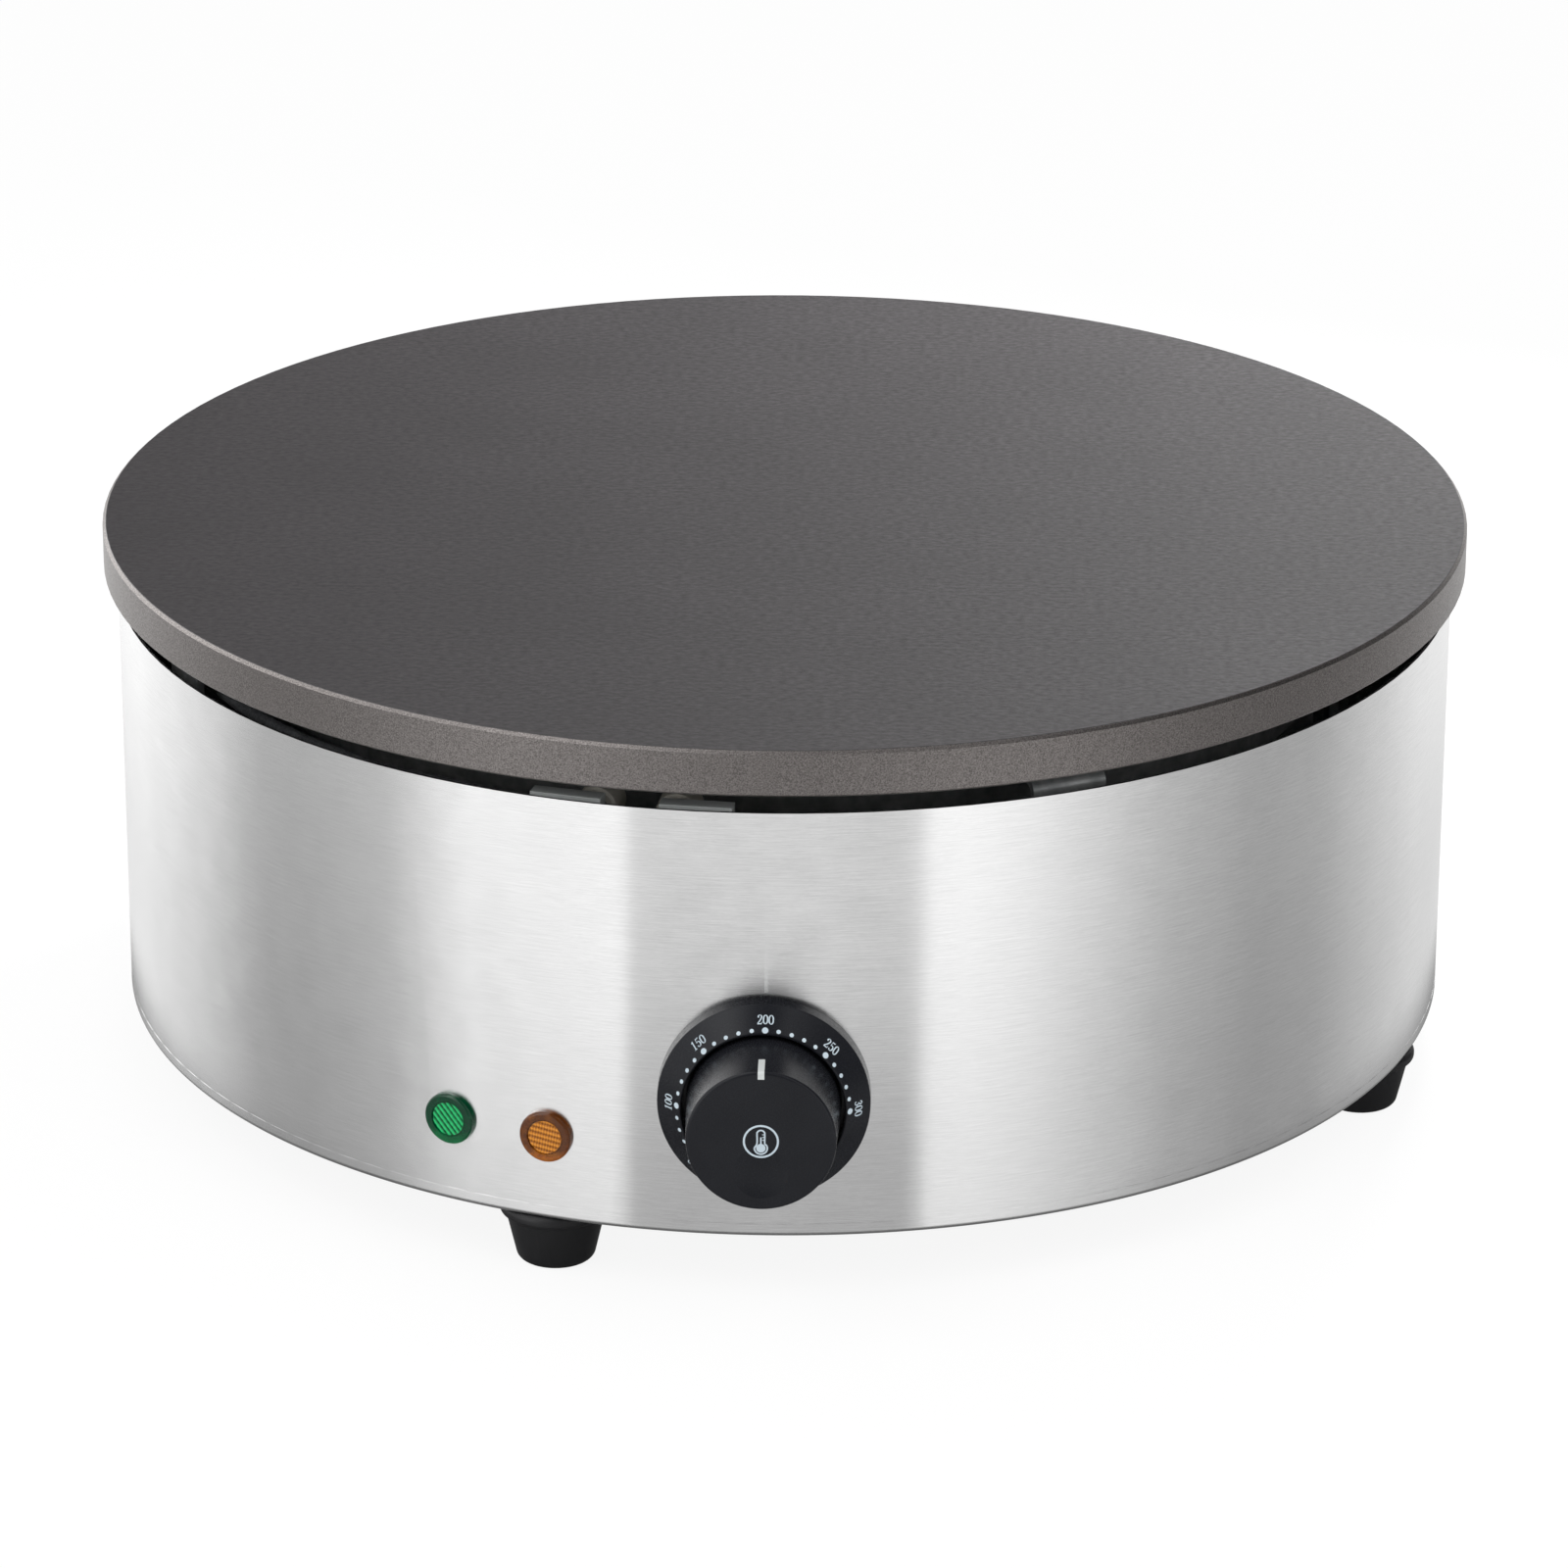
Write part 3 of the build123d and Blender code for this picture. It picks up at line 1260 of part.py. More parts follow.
with BuildPart() as cable_gland_body:
    with BuildSketch(wall_plane(180, gland_height, gland_face_reach)):
        RegularPolygon(gland_across_flats / 2, 6, major_radius=False)
    extrude(amount=gland_flange_thickness)
    with BuildSketch(wall_plane(180, gland_height, gland_flange_reach)):
        Circle(gland_sleeve_diameter / 2)
    extrude(amount=gland_sleeve_length)
    with BuildSketch(wall_plane(180, gland_height, gland_inner_reach)):
        Circle(gland_thread_diameter / 2)
    extrude(amount=gland_face_reach - gland_inner_reach)
    with BuildSketch(wall_plane(180, gland_height, gland_inner_reach)):
        Circle(gland_throat_diameter / 2)
    extrude(amount=gland_throat_reach - gland_inner_reach, mode=Mode.SUBTRACT)
    with BuildSketch(wall_plane(180, gland_height, gland_throat_reach)):
        Circle(gland_seal_diameter / 2 + running_clearance)
    extrude(amount=gland_sleeve_reach - gland_throat_reach, mode=Mode.SUBTRACT)
cable_gland_body.part.label = "cable_gland_body"
export_step(cable_gland_body.part, "parts/cable_gland_body.step")

with BuildPart() as gland_seal:
    with BuildSketch(wall_plane(180, gland_height, gland_throat_reach)):
        Circle(gland_seal_diameter / 2)
        Circle(seal_bore_diameter / 2, mode=Mode.SUBTRACT)
    extrude(amount=seal_length)
gland_seal.part.label = "gland_seal"
export_step(gland_seal.part, "parts/gland_seal.step")

with BuildPart() as gland_cap:
    with BuildSketch(gland_side):
        add_outline(
            (gland_cap_reach, 0),
            (gland_cap_reach, gland_cap_nose_diameter / 2),
            (gland_end_reach, gland_cap_nose_diameter / 2, gland_cap_round),
            (gland_end_reach, 0),
        )
    revolve(axis=gland_axis)
    with BuildSketch(wall_plane(180, gland_height, gland_cap_reach)):
        RegularPolygon(gland_across_flats / 2, 6, major_radius=False)
    extrude(amount=gland_cap_hex_length)
    with BuildSketch(gland_side):
        add_outline(
            (gland_cap_reach, 0),
            (gland_cap_reach, gland_sleeve_diameter / 2 + thread_clearance),
            (gland_sleeve_reach + contact_gap, gland_sleeve_diameter / 2 + thread_clearance),
            (gland_sleeve_reach + contact_gap, gland_seal_diameter / 2 + running_clearance),
            (seal_end_reach + seat_gap, gland_seal_diameter / 2 + running_clearance),
            (seal_end_reach + seat_gap, gland_mouth_diameter / 2),
            (gland_end_reach, gland_mouth_diameter / 2),
            (gland_end_reach, 0),
        )
    revolve(axis=gland_axis, mode=Mode.SUBTRACT)
gland_cap.part.label = "gland_cap"
export_step(gland_cap.part, "parts/gland_cap.step")

with BuildPart() as gland_locknut:
    with BuildSketch(wall_plane(180, gland_height, gland_nut_reach)):
        add_nut_outline(gland_nut_across_flats, gland_thread_diameter + 2 * thread_clearance)
    extrude(amount=-gland_nut_thickness)
gland_locknut.part.label = "gland_locknut"
export_step(gland_locknut.part, "parts/gland_locknut.step")

# ---------------------------------------------------------------- terminal block and earth stud
# The supply comes in from the back; the internal leads and the lamp taps from the front.

block_top = base_top + block_height
way_level = base_top + block_way_level
tap_level = base_top + block_tap_level
lead_hole_radius = lead_diameter / 2 + running_clearance
block_fixing_radius = block_fixing_diameter / 2
neutral_way = -block_way_pitch
live_way = 0.0
earth_way = block_way_pitch

with BuildPart() as terminal_block:
    with BuildSketch(Plane.XY.offset(base_top)):
        with Locations((0, block_position)):
            RectangleRounded(block_length, block_width, block_corner)
            with GridLocations(block_fixing_pitch, 0, 2, 1):
                Circle(block_fixing_radius + thread_clearance, mode=Mode.SUBTRACT)
    extrude(amount=block_height)
    with BuildSketch(Plane(origin=(0, block_back, way_level), x_dir=(1, 0, 0), z_dir=(0, -1, 0))):
        with GridLocations(block_way_pitch, 0, block_ways, 1):
            Circle(block_way_diameter / 2)
    extrude(amount=block_way_depth, mode=Mode.SUBTRACT)
    with BuildSketch(Plane(origin=(0, block_front, way_level), x_dir=(1, 0, 0), z_dir=(0, 1, 0))):
        with GridLocations(block_way_pitch, 0, block_ways, 1):
            Circle(lead_hole_radius)
    extrude(amount=block_way_depth, mode=Mode.SUBTRACT)
    with BuildSketch(Plane(origin=(0, block_front, tap_level), x_dir=(1, 0, 0), z_dir=(0, 1, 0))):
        for way in (neutral_way, live_way):
            with Locations((way - block_tap_spread, 0), (way + block_tap_spread, 0)):
                Circle(lamp_lead_diameter / 2 + running_clearance)
    extrude(amount=block_way_depth, mode=Mode.SUBTRACT)
    with BuildSketch(Plane.XY.offset(block_top)):
        with Locations((0, block_position)):
            with GridLocations(block_way_pitch, block_clamp_pitch, block_ways, 2):
                Circle(block_clamp_diameter / 2)
    extrude(amount=-block_clamp_depth, mode=Mode.SUBTRACT)
terminal_block.part.label = "terminal_block"
export_step(terminal_block.part, "parts/terminal_block.step")

with BuildPart() as terminal_screws:
    with BuildSketch(Plane.XY.offset(block_top - block_clamp_depth)):
        with Locations((0, block_position)):
            with GridLocations(block_way_pitch, block_clamp_pitch, block_ways, 2):
                Circle(block_clamp_diameter / 2 - running_clearance)
    extrude(amount=block_clamp_depth - block_clamp_setback)
terminal_screws.part.label = "terminal_screws"
export_step(terminal_screws.part, "parts/terminal_screws.step")

with BuildPart() as block_screws:
    with BuildSketch(Plane.XY.offset(base_underside)):
        with Locations((0, block_position)):
            with GridLocations(block_fixing_pitch, 0, 2, 1):
                Circle(block_fixing_head_diameter / 2)
    extrude(amount=-block_fixing_head_height)
    with BuildSketch(Plane.XY.offset(base_underside)):
        with Locations((0, block_position)):
            with GridLocations(block_fixing_pitch, 0, 2, 1):
                Circle(block_fixing_radius)
    extrude(amount=base_sheet + block_fixing_grip)
block_screws.part.label = "block_screws"
export_step(block_screws.part, "parts/block_screws.step")

with BuildPart() as earth_stud:
    with BuildSketch(Plane.XY.offset(base_top)):
        with ring_of(1, earth_radius, earth_azimuth):
            Circle(earth_stud_diameter / 2)
    extrude(amount=earth_stud_length)
earth_stud.part.label = "earth_stud"
export_step(earth_stud.part, "parts/earth_stud.step")

earth_place = spot(earth_azimuth, earth_radius, base_top)
lug_level = base_top + lug_barrel_diameter / 2
lug_start = earth_place.X - lug_barrel_offset
lug_end = lug_start - lug_barrel_length

with BuildPart() as earth_lug:
    with BuildSketch(Plane.XY.offset(base_top)):
        with Locations((earth_place.X, earth_place.Y)):
            Circle(lug_ring_diameter / 2)
        with Locations((earth_place.X - lug_barrel_offset / 2, earth_place.Y)):
            Rectangle(lug_barrel_offset, lug_barrel_diameter)
        with Locations((earth_place.X, earth_place.Y)):
            Circle(earth_stud_diameter / 2 + hole_clearance, mode=Mode.SUBTRACT)
    extrude(amount=lug_sheet)
    with BuildSketch(Plane(origin=(lug_start, earth_place.Y, lug_level), z_dir=(-1, 0, 0))):
        Circle(lug_barrel_diameter / 2)
    extrude(amount=lug_barrel_length)
    with BuildSketch(Plane(origin=(lug_end, earth_place.Y, lug_level), z_dir=(1, 0, 0))):
        Circle(lead_hole_radius)
    extrude(amount=lug_barrel_length - lug_sheet, mode=Mode.SUBTRACT)
earth_lug.part.label = "earth_lug"
export_step(earth_lug.part, "parts/earth_lug.step")

# ---------------------------------------------------------------- internal leads


def add_lead(diameter, bends, *corners):
    """Sweep a round wire along straight runs that bends join."""
    with BuildLine() as run:
        FilletPolyline(*corners, radius=bends)
    with BuildSketch(Plane(origin=run.line @ 0, z_dir=run.line % 0)) as section:
        Circle(diameter / 2)
    sweep(section.sketch, path=run.line)


def run_off(azimuth, radius, height, distance):
    """Point reached from a place on a circle by going along its tangent."""
    return spot(azimuth, radius, height) + along(azimuth) * distance


live_tail, neutral_tail = tail_azimuths
flag_reach = element_tail_radius + contact_gap
flag_lead_reach = flag_reach + flag_thickness / 2
flag_lead_level = element_tail_level + flag_rise
flag_mouth = flag_length - flag_pin_setback
flag_lead_start = flag_mouth - lead_grip + contact_gap
receptacle_depth = blade_length + receptacle_gap
receptacle_mouth = receptacle_length - receptacle_thickness / 2
receptacle_lead_start = receptacle_mouth - lead_grip + contact_gap
thermostat_blade_root = thermostat_back_reach - contact_gap
thermostat_lead_reach = thermostat_blade_root - receptacle_depth / 2
upper_blade_level = dial_height + blade_offset
lower_blade_level = dial_height - blade_offset
lamp_tap_level = upper_blade_level + lamp_tap_rise
cutout_blade_root = tray_bottom - cutout_height - contact_gap
cutout_lead_level = cutout_blade_root - receptacle_depth / 2
cutout_lead_start = cutout_blade_pitch / 2 + receptacle_lead_start
run_corner_angle = (lead_run_start - lead_run_end) / 4
run_corner_radius = lead_run_radius / cos(radians(run_corner_angle))
block_lead_end = block_front + block_way_depth - contact_gap
block_lead_corner = block_front - lead_block_run
lead_arch_level = upper_blade_level + lead_arch_rise
lead_floor_level = base_top + lead_floor_rise
lead_riser_bottom = base_top + lead_riser_rise
lead_drop_level = base_top + lead_drop_rise


def add_receptacle(root):
    """Push-on terminal: `root` lies at the blade's root, and its y runs to the lead's mouth."""
    with BuildSketch(root) as outline:
        with Locations((0, receptacle_mouth - receptacle_length / 2)):
            Rectangle(receptacle_width, receptacle_length)
        Rectangle(
            blade_width + receptacle_gap,
            blade_thickness + receptacle_gap,
            mode=Mode.SUBTRACT,
        )
    extrude(outline.sketch, amount=-receptacle_depth)
    mouth_place = root.from_local_coords((0, receptacle_mouth, -receptacle_depth / 2))
    with BuildSketch(Plane(origin=mouth_place, z_dir=root.y_dir)) as mouth:
        Circle(lead_hole_radius)
    extrude(mouth.sketch, amount=-lead_grip, mode=Mode.SUBTRACT)


with BuildPart() as crimp_terminals:
    for azimuth, side in ((live_tail, 1), (neutral_tail, -1)):
        flag_middle = side * (flag_mouth - flag_length / 2)
        with BuildSketch(wall_plane(azimuth, flag_lead_level, flag_reach)):
            with Locations((flag_middle, 0)):
                Rectangle(flag_length, flag_width)
            with Locations((0, -flag_rise)):
                Circle(element_pin_diameter / 2 + running_clearance, mode=Mode.SUBTRACT)
        extrude(amount=flag_thickness)
        flag_end = run_off(azimuth, flag_lead_reach, flag_lead_level, side * flag_mouth)
        with BuildSketch(Plane(origin=flag_end, z_dir=along(azimuth) * side)):
            Circle(lead_hole_radius)
        extrude(amount=-lead_grip, mode=Mode.SUBTRACT)
    add_receptacle(wall_plane(0, upper_blade_level, thermostat_blade_root))
    tap_place = spot(0, thermostat_lead_reach, lamp_tap_level) - along(0) * receptacle_width / 2
    with BuildSketch(Plane(origin=tap_place, z_dir=-along(0))):
        Circle(lamp_lead_diameter / 2 + running_clearance)
    extrude(amount=-lamp_tap_depth, mode=Mode.SUBTRACT)
    lower_place = spot(0, thermostat_blade_root, lower_blade_level)
    add_receptacle(Plane(origin=lower_place, x_dir=-along(0), z_dir=outward(0)))
    for side in (1, -1):
        cutout_place = (side * cutout_blade_pitch / 2, -cutout_offset, cutout_blade_root)
        add_receptacle(Plane(origin=cutout_place, x_dir=(0, -side, 0), z_dir=(0, 0, 1)))
crimp_terminals.part.label = "crimp_terminals"
export_step(crimp_terminals.part, "parts/crimp_terminals.step")

with BuildPart() as live_leads:
    upper_mouth = upper_blade_level + receptacle_lead_start
    lower_mouth = lower_blade_level - receptacle_lead_start
    arch_corner = flag_mouth + lead_bend_radius
    add_lead(
        lead_diameter,
        lead_bend_radius - contact_gap,
        run_off(live_tail, flag_lead_reach, flag_lead_level, flag_lead_start),
        run_off(live_tail, flag_lead_reach, flag_lead_level, arch_corner),
        run_off(live_tail, element_tail_radius, lead_arch_level, arch_corner),
        (0, -thermostat_lead_reach, lead_arch_level - lead_arch_fall),
        (0, -thermostat_lead_reach, upper_mouth),
    )
    add_lead(
        lead_diameter,
        lead_riser_bend,
        (live_way, block_lead_end, way_level),
        (live_way, block_lead_corner, way_level),
        (lead_riser_offset, -cutout_offset, lead_riser_bottom),
        (lead_riser_offset, -cutout_offset, cutout_lead_level),
        (cutout_lead_start, -cutout_offset, cutout_lead_level),
    )
    add_lead(
        lead_diameter,
        (lead_riser_bend, lead_riser_bend, lead_riser_bend, lead_mouth_bend),
        (-cutout_lead_start, -cutout_offset, cutout_lead_level),
        (-lead_riser_offset, -cutout_offset, cutout_lead_level),
        (-lead_riser_offset, -cutout_offset, lead_riser_bottom),
        (0, -lead_floor_offset, lead_floor_level),
        (0, -thermostat_lead_reach, lead_floor_level),
        (0, -thermostat_lead_reach, lower_mouth),
    )
live_leads.part.label = "live_leads"
export_step(live_leads.part, "parts/live_leads.step")

with BuildPart() as neutral_lead:
    drop_place = run_off(lead_run_end, lead_run_radius, lead_run_level, -lead_run_lead_out)
    add_lead(
        lead_diameter,
        (
            lead_bend_radius,
            lead_bend_radius,
            lead_run_radius - lead_bend_radius,
            lead_run_radius - lead_bend_radius,
            lead_bend_radius,
            lead_bend_radius,
            lead_bend_radius,
        ),
        run_off(neutral_tail, flag_lead_reach, flag_lead_level, -flag_lead_start),
        run_off(neutral_tail, flag_lead_reach, flag_lead_level, -flag_mouth - lead_flag_run),
        run_off(lead_run_start, lead_run_radius, lead_run_level, lead_run_lead_in),
        spot(lead_run_start - run_corner_angle, run_corner_radius, lead_run_level),
        spot(lead_run_end + run_corner_angle, run_corner_radius, lead_run_level),
        drop_place,
        (drop_place.X, drop_place.Y, lead_drop_level),
        (neutral_way, block_lead_corner, way_level),
        (neutral_way, block_lead_end, way_level),
    )
neutral_lead.part.label = "neutral_lead"
export_step(neutral_lead.part, "parts/neutral_lead.step")

with BuildPart() as earth_lead:
    add_lead(
        lead_diameter,
        lead_bend_radius,
        (lug_start - lug_sheet - contact_gap, earth_place.Y, lug_level),
        (earth_way, earth_place.Y, lug_level),
        (earth_way, block_front - earth_lead_in, way_level),
        (earth_way, block_lead_end, way_level),
    )
earth_lead.part.label = "earth_lead"
export_step(earth_lead.part, "parts/earth_lead.step")

lamp_lead_reach = lamp_body_reach + lamp_lead_grip - contact_gap
lamp_corner_reach = lamp_body_reach - lamp_lead_run
lamp_block_corner = block_front - lamp_lead_run

with BuildPart() as lamp_leads:
    for azimuth, offset, way, waypoints in (
        (green_lamp_azimuth, -lamp_lead_spread, neutral_way - block_tap_spread, ()),
        (green_lamp_azimuth, lamp_lead_spread, live_way - block_tap_spread, ()),
        (amber_lamp_azimuth, -lamp_lead_spread, neutral_way + block_tap_spread, (lamp_crossing,)),
    ):
        add_lead(
            lamp_lead_diameter,
            lamp_lead_bend,
            run_off(azimuth, lamp_lead_reach, lamp_height, offset),
            run_off(azimuth, lamp_corner_reach, lamp_height, offset),
            *waypoints,
            (way, lamp_block_corner, tap_level),
            (way, block_lead_end, tap_level),
        )
    tap_start = lamp_tap_depth - contact_gap - receptacle_width / 2
    add_lead(
        lamp_lead_diameter,
        lamp_lead_bend,
        run_off(amber_lamp_azimuth, lamp_lead_reach, lamp_height, lamp_lead_spread),
        run_off(amber_lamp_azimuth, lamp_corner_reach, lamp_height, lamp_lead_spread),
        (-lamp_lead_run - lamp_lead_bend, -thermostat_lead_reach, lamp_tap_level),
        (tap_start, -thermostat_lead_reach, lamp_tap_level),
    )
lamp_leads.part.label = "lamp_leads"
export_step(lamp_leads.part, "parts/lamp_leads.step")
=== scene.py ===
"""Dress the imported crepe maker: finishes, printed dial, pilot lamps, lower bend and a plain studio.

Sizes are in millimetres and angles in degrees, and become metres only where Blender takes them.
"""

import json
import logging
import math
from dataclasses import dataclass, field
from enum import Enum
from itertools import accumulate
from typing import Any, Callable, Mapping, Sequence

import bpy
from mathutils import Matrix, Vector
from mathutils.geometry import delaunay_2d_cdt


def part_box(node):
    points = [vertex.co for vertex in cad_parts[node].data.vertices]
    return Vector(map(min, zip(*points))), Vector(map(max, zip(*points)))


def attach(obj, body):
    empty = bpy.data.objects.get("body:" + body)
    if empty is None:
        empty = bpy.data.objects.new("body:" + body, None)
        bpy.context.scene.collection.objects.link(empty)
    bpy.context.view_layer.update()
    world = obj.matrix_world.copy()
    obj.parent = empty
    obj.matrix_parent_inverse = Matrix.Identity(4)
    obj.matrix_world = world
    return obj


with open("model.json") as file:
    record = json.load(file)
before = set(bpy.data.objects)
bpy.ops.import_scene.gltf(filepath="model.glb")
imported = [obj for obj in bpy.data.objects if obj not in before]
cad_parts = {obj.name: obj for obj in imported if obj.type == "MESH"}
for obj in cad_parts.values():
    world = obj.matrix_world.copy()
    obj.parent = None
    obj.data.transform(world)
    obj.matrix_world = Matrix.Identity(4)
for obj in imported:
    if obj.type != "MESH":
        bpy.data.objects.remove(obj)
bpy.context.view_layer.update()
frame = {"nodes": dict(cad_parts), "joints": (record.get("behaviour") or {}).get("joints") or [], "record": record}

log = logging.getLogger("crepe_maker")

MM = 0.001

Colour = tuple[float, float, float, float]
Place = tuple[float, float, float]
Flat = tuple[float, float]
Outline = Sequence[Flat]
Placer = Callable[[float, float, float], Vector]
Panels = tuple[tuple[float, float], ...]

WHITE: Colour = (1.0, 1.0, 1.0, 1.0)
BLACK: Colour = (0.0, 0.0, 0.0, 1.0)
EVEN: Place = (1.0, 1.0, 1.0)

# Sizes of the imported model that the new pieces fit.
PLATE_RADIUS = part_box("griddle_plate")[1].x / MM
SHELL_RADIUS = -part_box("body_shell")[0].y / MM
SHELL_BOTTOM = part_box("body_shell")[0].z / MM
BEZEL_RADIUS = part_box("dial_bezel")[1].x / MM
KNOB_FACE = -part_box("control_knob")[0].y / MM
DIAL_HEIGHT = next(joint["pos_m"][2] for joint in frame["joints"] if joint["name"] == "knob_turn") / MM
LENS_RADIUS = 7.5
LAMP_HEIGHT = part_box("green_lamp_lens")[1].z / MM - LENS_RADIUS


def tone(red: float, green: float, blue: float) -> Colour:
    """Turn display values from 0 to 255 into the linear colour that a shader takes.

    Args:
        red: Red as it shows on a screen.
        green: Green as it shows on a screen.
        blue: Blue as it shows on a screen.

    Returns:
        The linear colour, opaque.
    """
    def linear(level: float) -> float:
        """Undo the display curve for one channel."""
        share = level / 255
        return share / 12.92 if share <= 0.04045 else ((share + 0.055) / 1.055) ** 2.4

    return (linear(red), linear(green), linear(blue), 1.0)


def grey(level: float) -> Colour:
    """A neutral colour of a linear level."""
    return (level, level, level, 1.0)


def around(azimuth: float) -> tuple[Vector, Vector]:
    """Outward and sideways directions at an azimuth, which is 0 at the front.

    Args:
        azimuth: Degrees from the front, growing towards +X.

    Returns:
        The unit vector away from the axis, and the one to its right as seen from outside.
    """
    turn = math.radians(azimuth)
    return Vector((math.sin(turn), -math.cos(turn), 0)), Vector((math.cos(turn), math.sin(turn), 0))


class Body(Enum):
    """The two bodies that pieces ride on."""

    HOUSING = "housing"
    KNOB = "knob"


# ---------------------------------------------------------------- shader trees


@dataclass(frozen=True)
class Grain:
    """Soft noise: the size of its lumps, its finer octaves, and how much closer it is on each axis."""

    size: float
    detail: float = 2.0
    rough: float = 0.5
    squeeze: Place = EVEN


class Signal:
    """A value on its way between shader nodes, with the arithmetic that the finishes use."""

    def __init__(self, tree: "Tree", socket: bpy.types.NodeSocket) -> None:
        """Wrap one output socket of a tree."""
        self.tree = tree
        self.socket = socket

    def __add__(self, other: "Signal | float") -> "Signal":
        """Sum of two values."""
        return self.tree.maths("ADD", self, other)

    __radd__ = __add__

    def __mul__(self, other: "Signal | float") -> "Signal":
        """Product of two values."""
        return self.tree.maths("MULTIPLY", self, other)

    __rmul__ = __mul__

    def __sub__(self, other: "Signal | float") -> "Signal":
        """This value less another."""
        return self.tree.maths("SUBTRACT", self, other)

    def __rsub__(self, other: "Signal | float") -> "Signal":
        """Another value less this one."""
        return self.tree.maths("SUBTRACT", other, self)

    def __truediv__(self, other: "Signal | float") -> "Signal":
        """This value over another."""
        return self.tree.maths("DIVIDE", self, other)

    def __rtruediv__(self, other: "Signal | float") -> "Signal":
        """Another value over this one."""
        return self.tree.maths("DIVIDE", other, self)


Operand = Signal | float | Colour | Place


class Tree:
    """The node tree of a material or of the world."""

    def __init__(self, owner: bpy.types.Material | bpy.types.World) -> None:
        """Empty the owner's tree and keep hold of it.

        Args:
            owner: The material or world that the tree belongs to.
        """
        owner.use_nodes = True
        self.nodes = owner.node_tree.nodes
        self.links = owner.node_tree.links
        self.nodes.clear()

    def add(
        self,
        kind: str,
        settings: Mapping[str, Any] | None = None,
        inputs: Mapping[str, Operand] | None = None,
    ) -> dict[str, Signal]:
        """Add one node, with its settings before its sockets.

        Args:
            kind: The node's type.
            settings: Its properties, and for a ramp its stops as (place, colour) pairs.
            inputs: Values or links for its sockets, by the sockets' identifiers.

        Returns:
            Its outputs, by their identifiers.
        """
        node = self.nodes.new(kind)
        for name, value in (settings or {}).items():
            if name == "stops":
                self._set_stops(node.color_ramp, value)
            else:
                setattr(node, name, value)
        sockets = {socket.identifier: socket for socket in node.inputs}
        for name, value in (inputs or {}).items():
            if isinstance(value, Signal):
                self.links.new(value.socket, sockets[name])
            else:
                sockets[name].default_value = value
        return {socket.identifier: Signal(self, socket) for socket in node.outputs}

    @staticmethod
    def _set_stops(ramp: bpy.types.ColorRamp, stops: Sequence[tuple[float, Colour]]) -> None:
        """Give a colour ramp its stops, in their order.

        Args:
            ramp: The ramp, as new.
            stops: Places from 0 to 1, each with its colour.
        """
        while len(ramp.elements) < len(stops):
            ramp.elements.new(1.0)
        for element, (place, colour) in zip(ramp.elements, stops):
            element.position = place
            element.color = colour

    def maths(self, operation: str, left: Operand, right: Operand = 0.0) -> Signal:
        """One arithmetic step on two values."""
        inputs = {"Value": left, "Value_001": right}
        return self.add("ShaderNodeMath", {"operation": operation}, inputs)["Value"]

    def place(self) -> Signal:
        """Position on the object in millimetres."""
        return self.stretch(self.add("ShaderNodeTexCoord")["Object"], (1 / MM, 1 / MM, 1 / MM))

    def stretch(self, vector: Signal, by: Place) -> Signal:
        """A vector with each component scaled."""
        inputs = {"Vector": vector, "Vector_001": by}
        return self.add("ShaderNodeVectorMath", {"operation": "MULTIPLY"}, inputs)["Vector"]

    def axes(self, vector: Signal) -> tuple[Signal, Signal, Signal]:
        """The three components of a vector."""
        parts = self.add("ShaderNodeSeparateXYZ", inputs={"Vector": vector})
        return parts["X"], parts["Y"], parts["Z"]

    def from_axis(self, x: Signal, y: Signal) -> Signal:
        """Distance from the upright axis."""
        return self.maths("SQRT", x * x + y * y)

    def noise(self, place: Signal, grain: Grain) -> Signal:
        """Soft noise at a position.

        Args:
            place: The position in millimetres.
            grain: Size and character of the noise.

        Returns:
            A value round 0.5.
        """
        vector = place if grain.squeeze == EVEN else self.stretch(place, grain.squeeze)
        inputs = {"Vector": vector, "Scale": 1 / grain.size, "Detail": grain.detail, "Roughness": grain.rough}
        return self.add("ShaderNodeTexNoise", inputs=inputs)["Fac"]

    def span(self, value: Signal, low: float, high: float, to_low: float, to_high: float) -> Signal:
        """Map a value from one range to another, and hold it there."""
        inputs = {"Value": value, "From Min": low, "From Max": high, "To Min": to_low, "To Max": to_high}
        return self.add("ShaderNodeMapRange", {"clamp": True}, inputs)["Result"]

    def drift(self, noise: Signal, low: float, high: float, half: float = 0.2) -> Signal:
        """Let a value wander from low to high with a noise, over half a range on each side of its middle."""
        return self.span(noise, 0.5 - half, 0.5 + half, low, high)

    def share(self, noise: Signal, half: float = 0.15) -> Signal:
        """Stretch a noise to run from 0 to 1."""
        return self.drift(noise, 0.0, 1.0, half)

    def blend(self, share: Operand, start: Operand, end: Operand) -> Signal:
        """Mix two colours."""
        inputs = {"Factor_Float": share, "A_Color": start, "B_Color": end}
        return self.add("ShaderNodeMix", {"data_type": "RGBA"}, inputs)["Result_Color"]

    def either(self, share: Operand, start: Signal, end: Signal) -> Signal:
        """Mix two shaders."""
        inputs = {"Fac": share, "Shader": start, "Shader_001": end}
        return self.add("ShaderNodeMixShader", inputs=inputs)["Shader"]

    def relief(self, height: Signal, depth: float, strength: float) -> Signal:
        """Normal of a surface with a relief some millimetres deep."""
        inputs = {"Strength": strength, "Distance": depth * MM, "Height": height}
        return self.add("ShaderNodeBump", inputs=inputs)["Normal"]

    def surface(self, inputs: Mapping[str, Operand]) -> None:
        """Close the tree with a principled surface."""
        shader = self.add("ShaderNodeBsdfPrincipled", inputs=inputs)["BSDF"]
        self.add("ShaderNodeOutputMaterial", inputs={"Surface": shader})


# ---------------------------------------------------------------- finishes


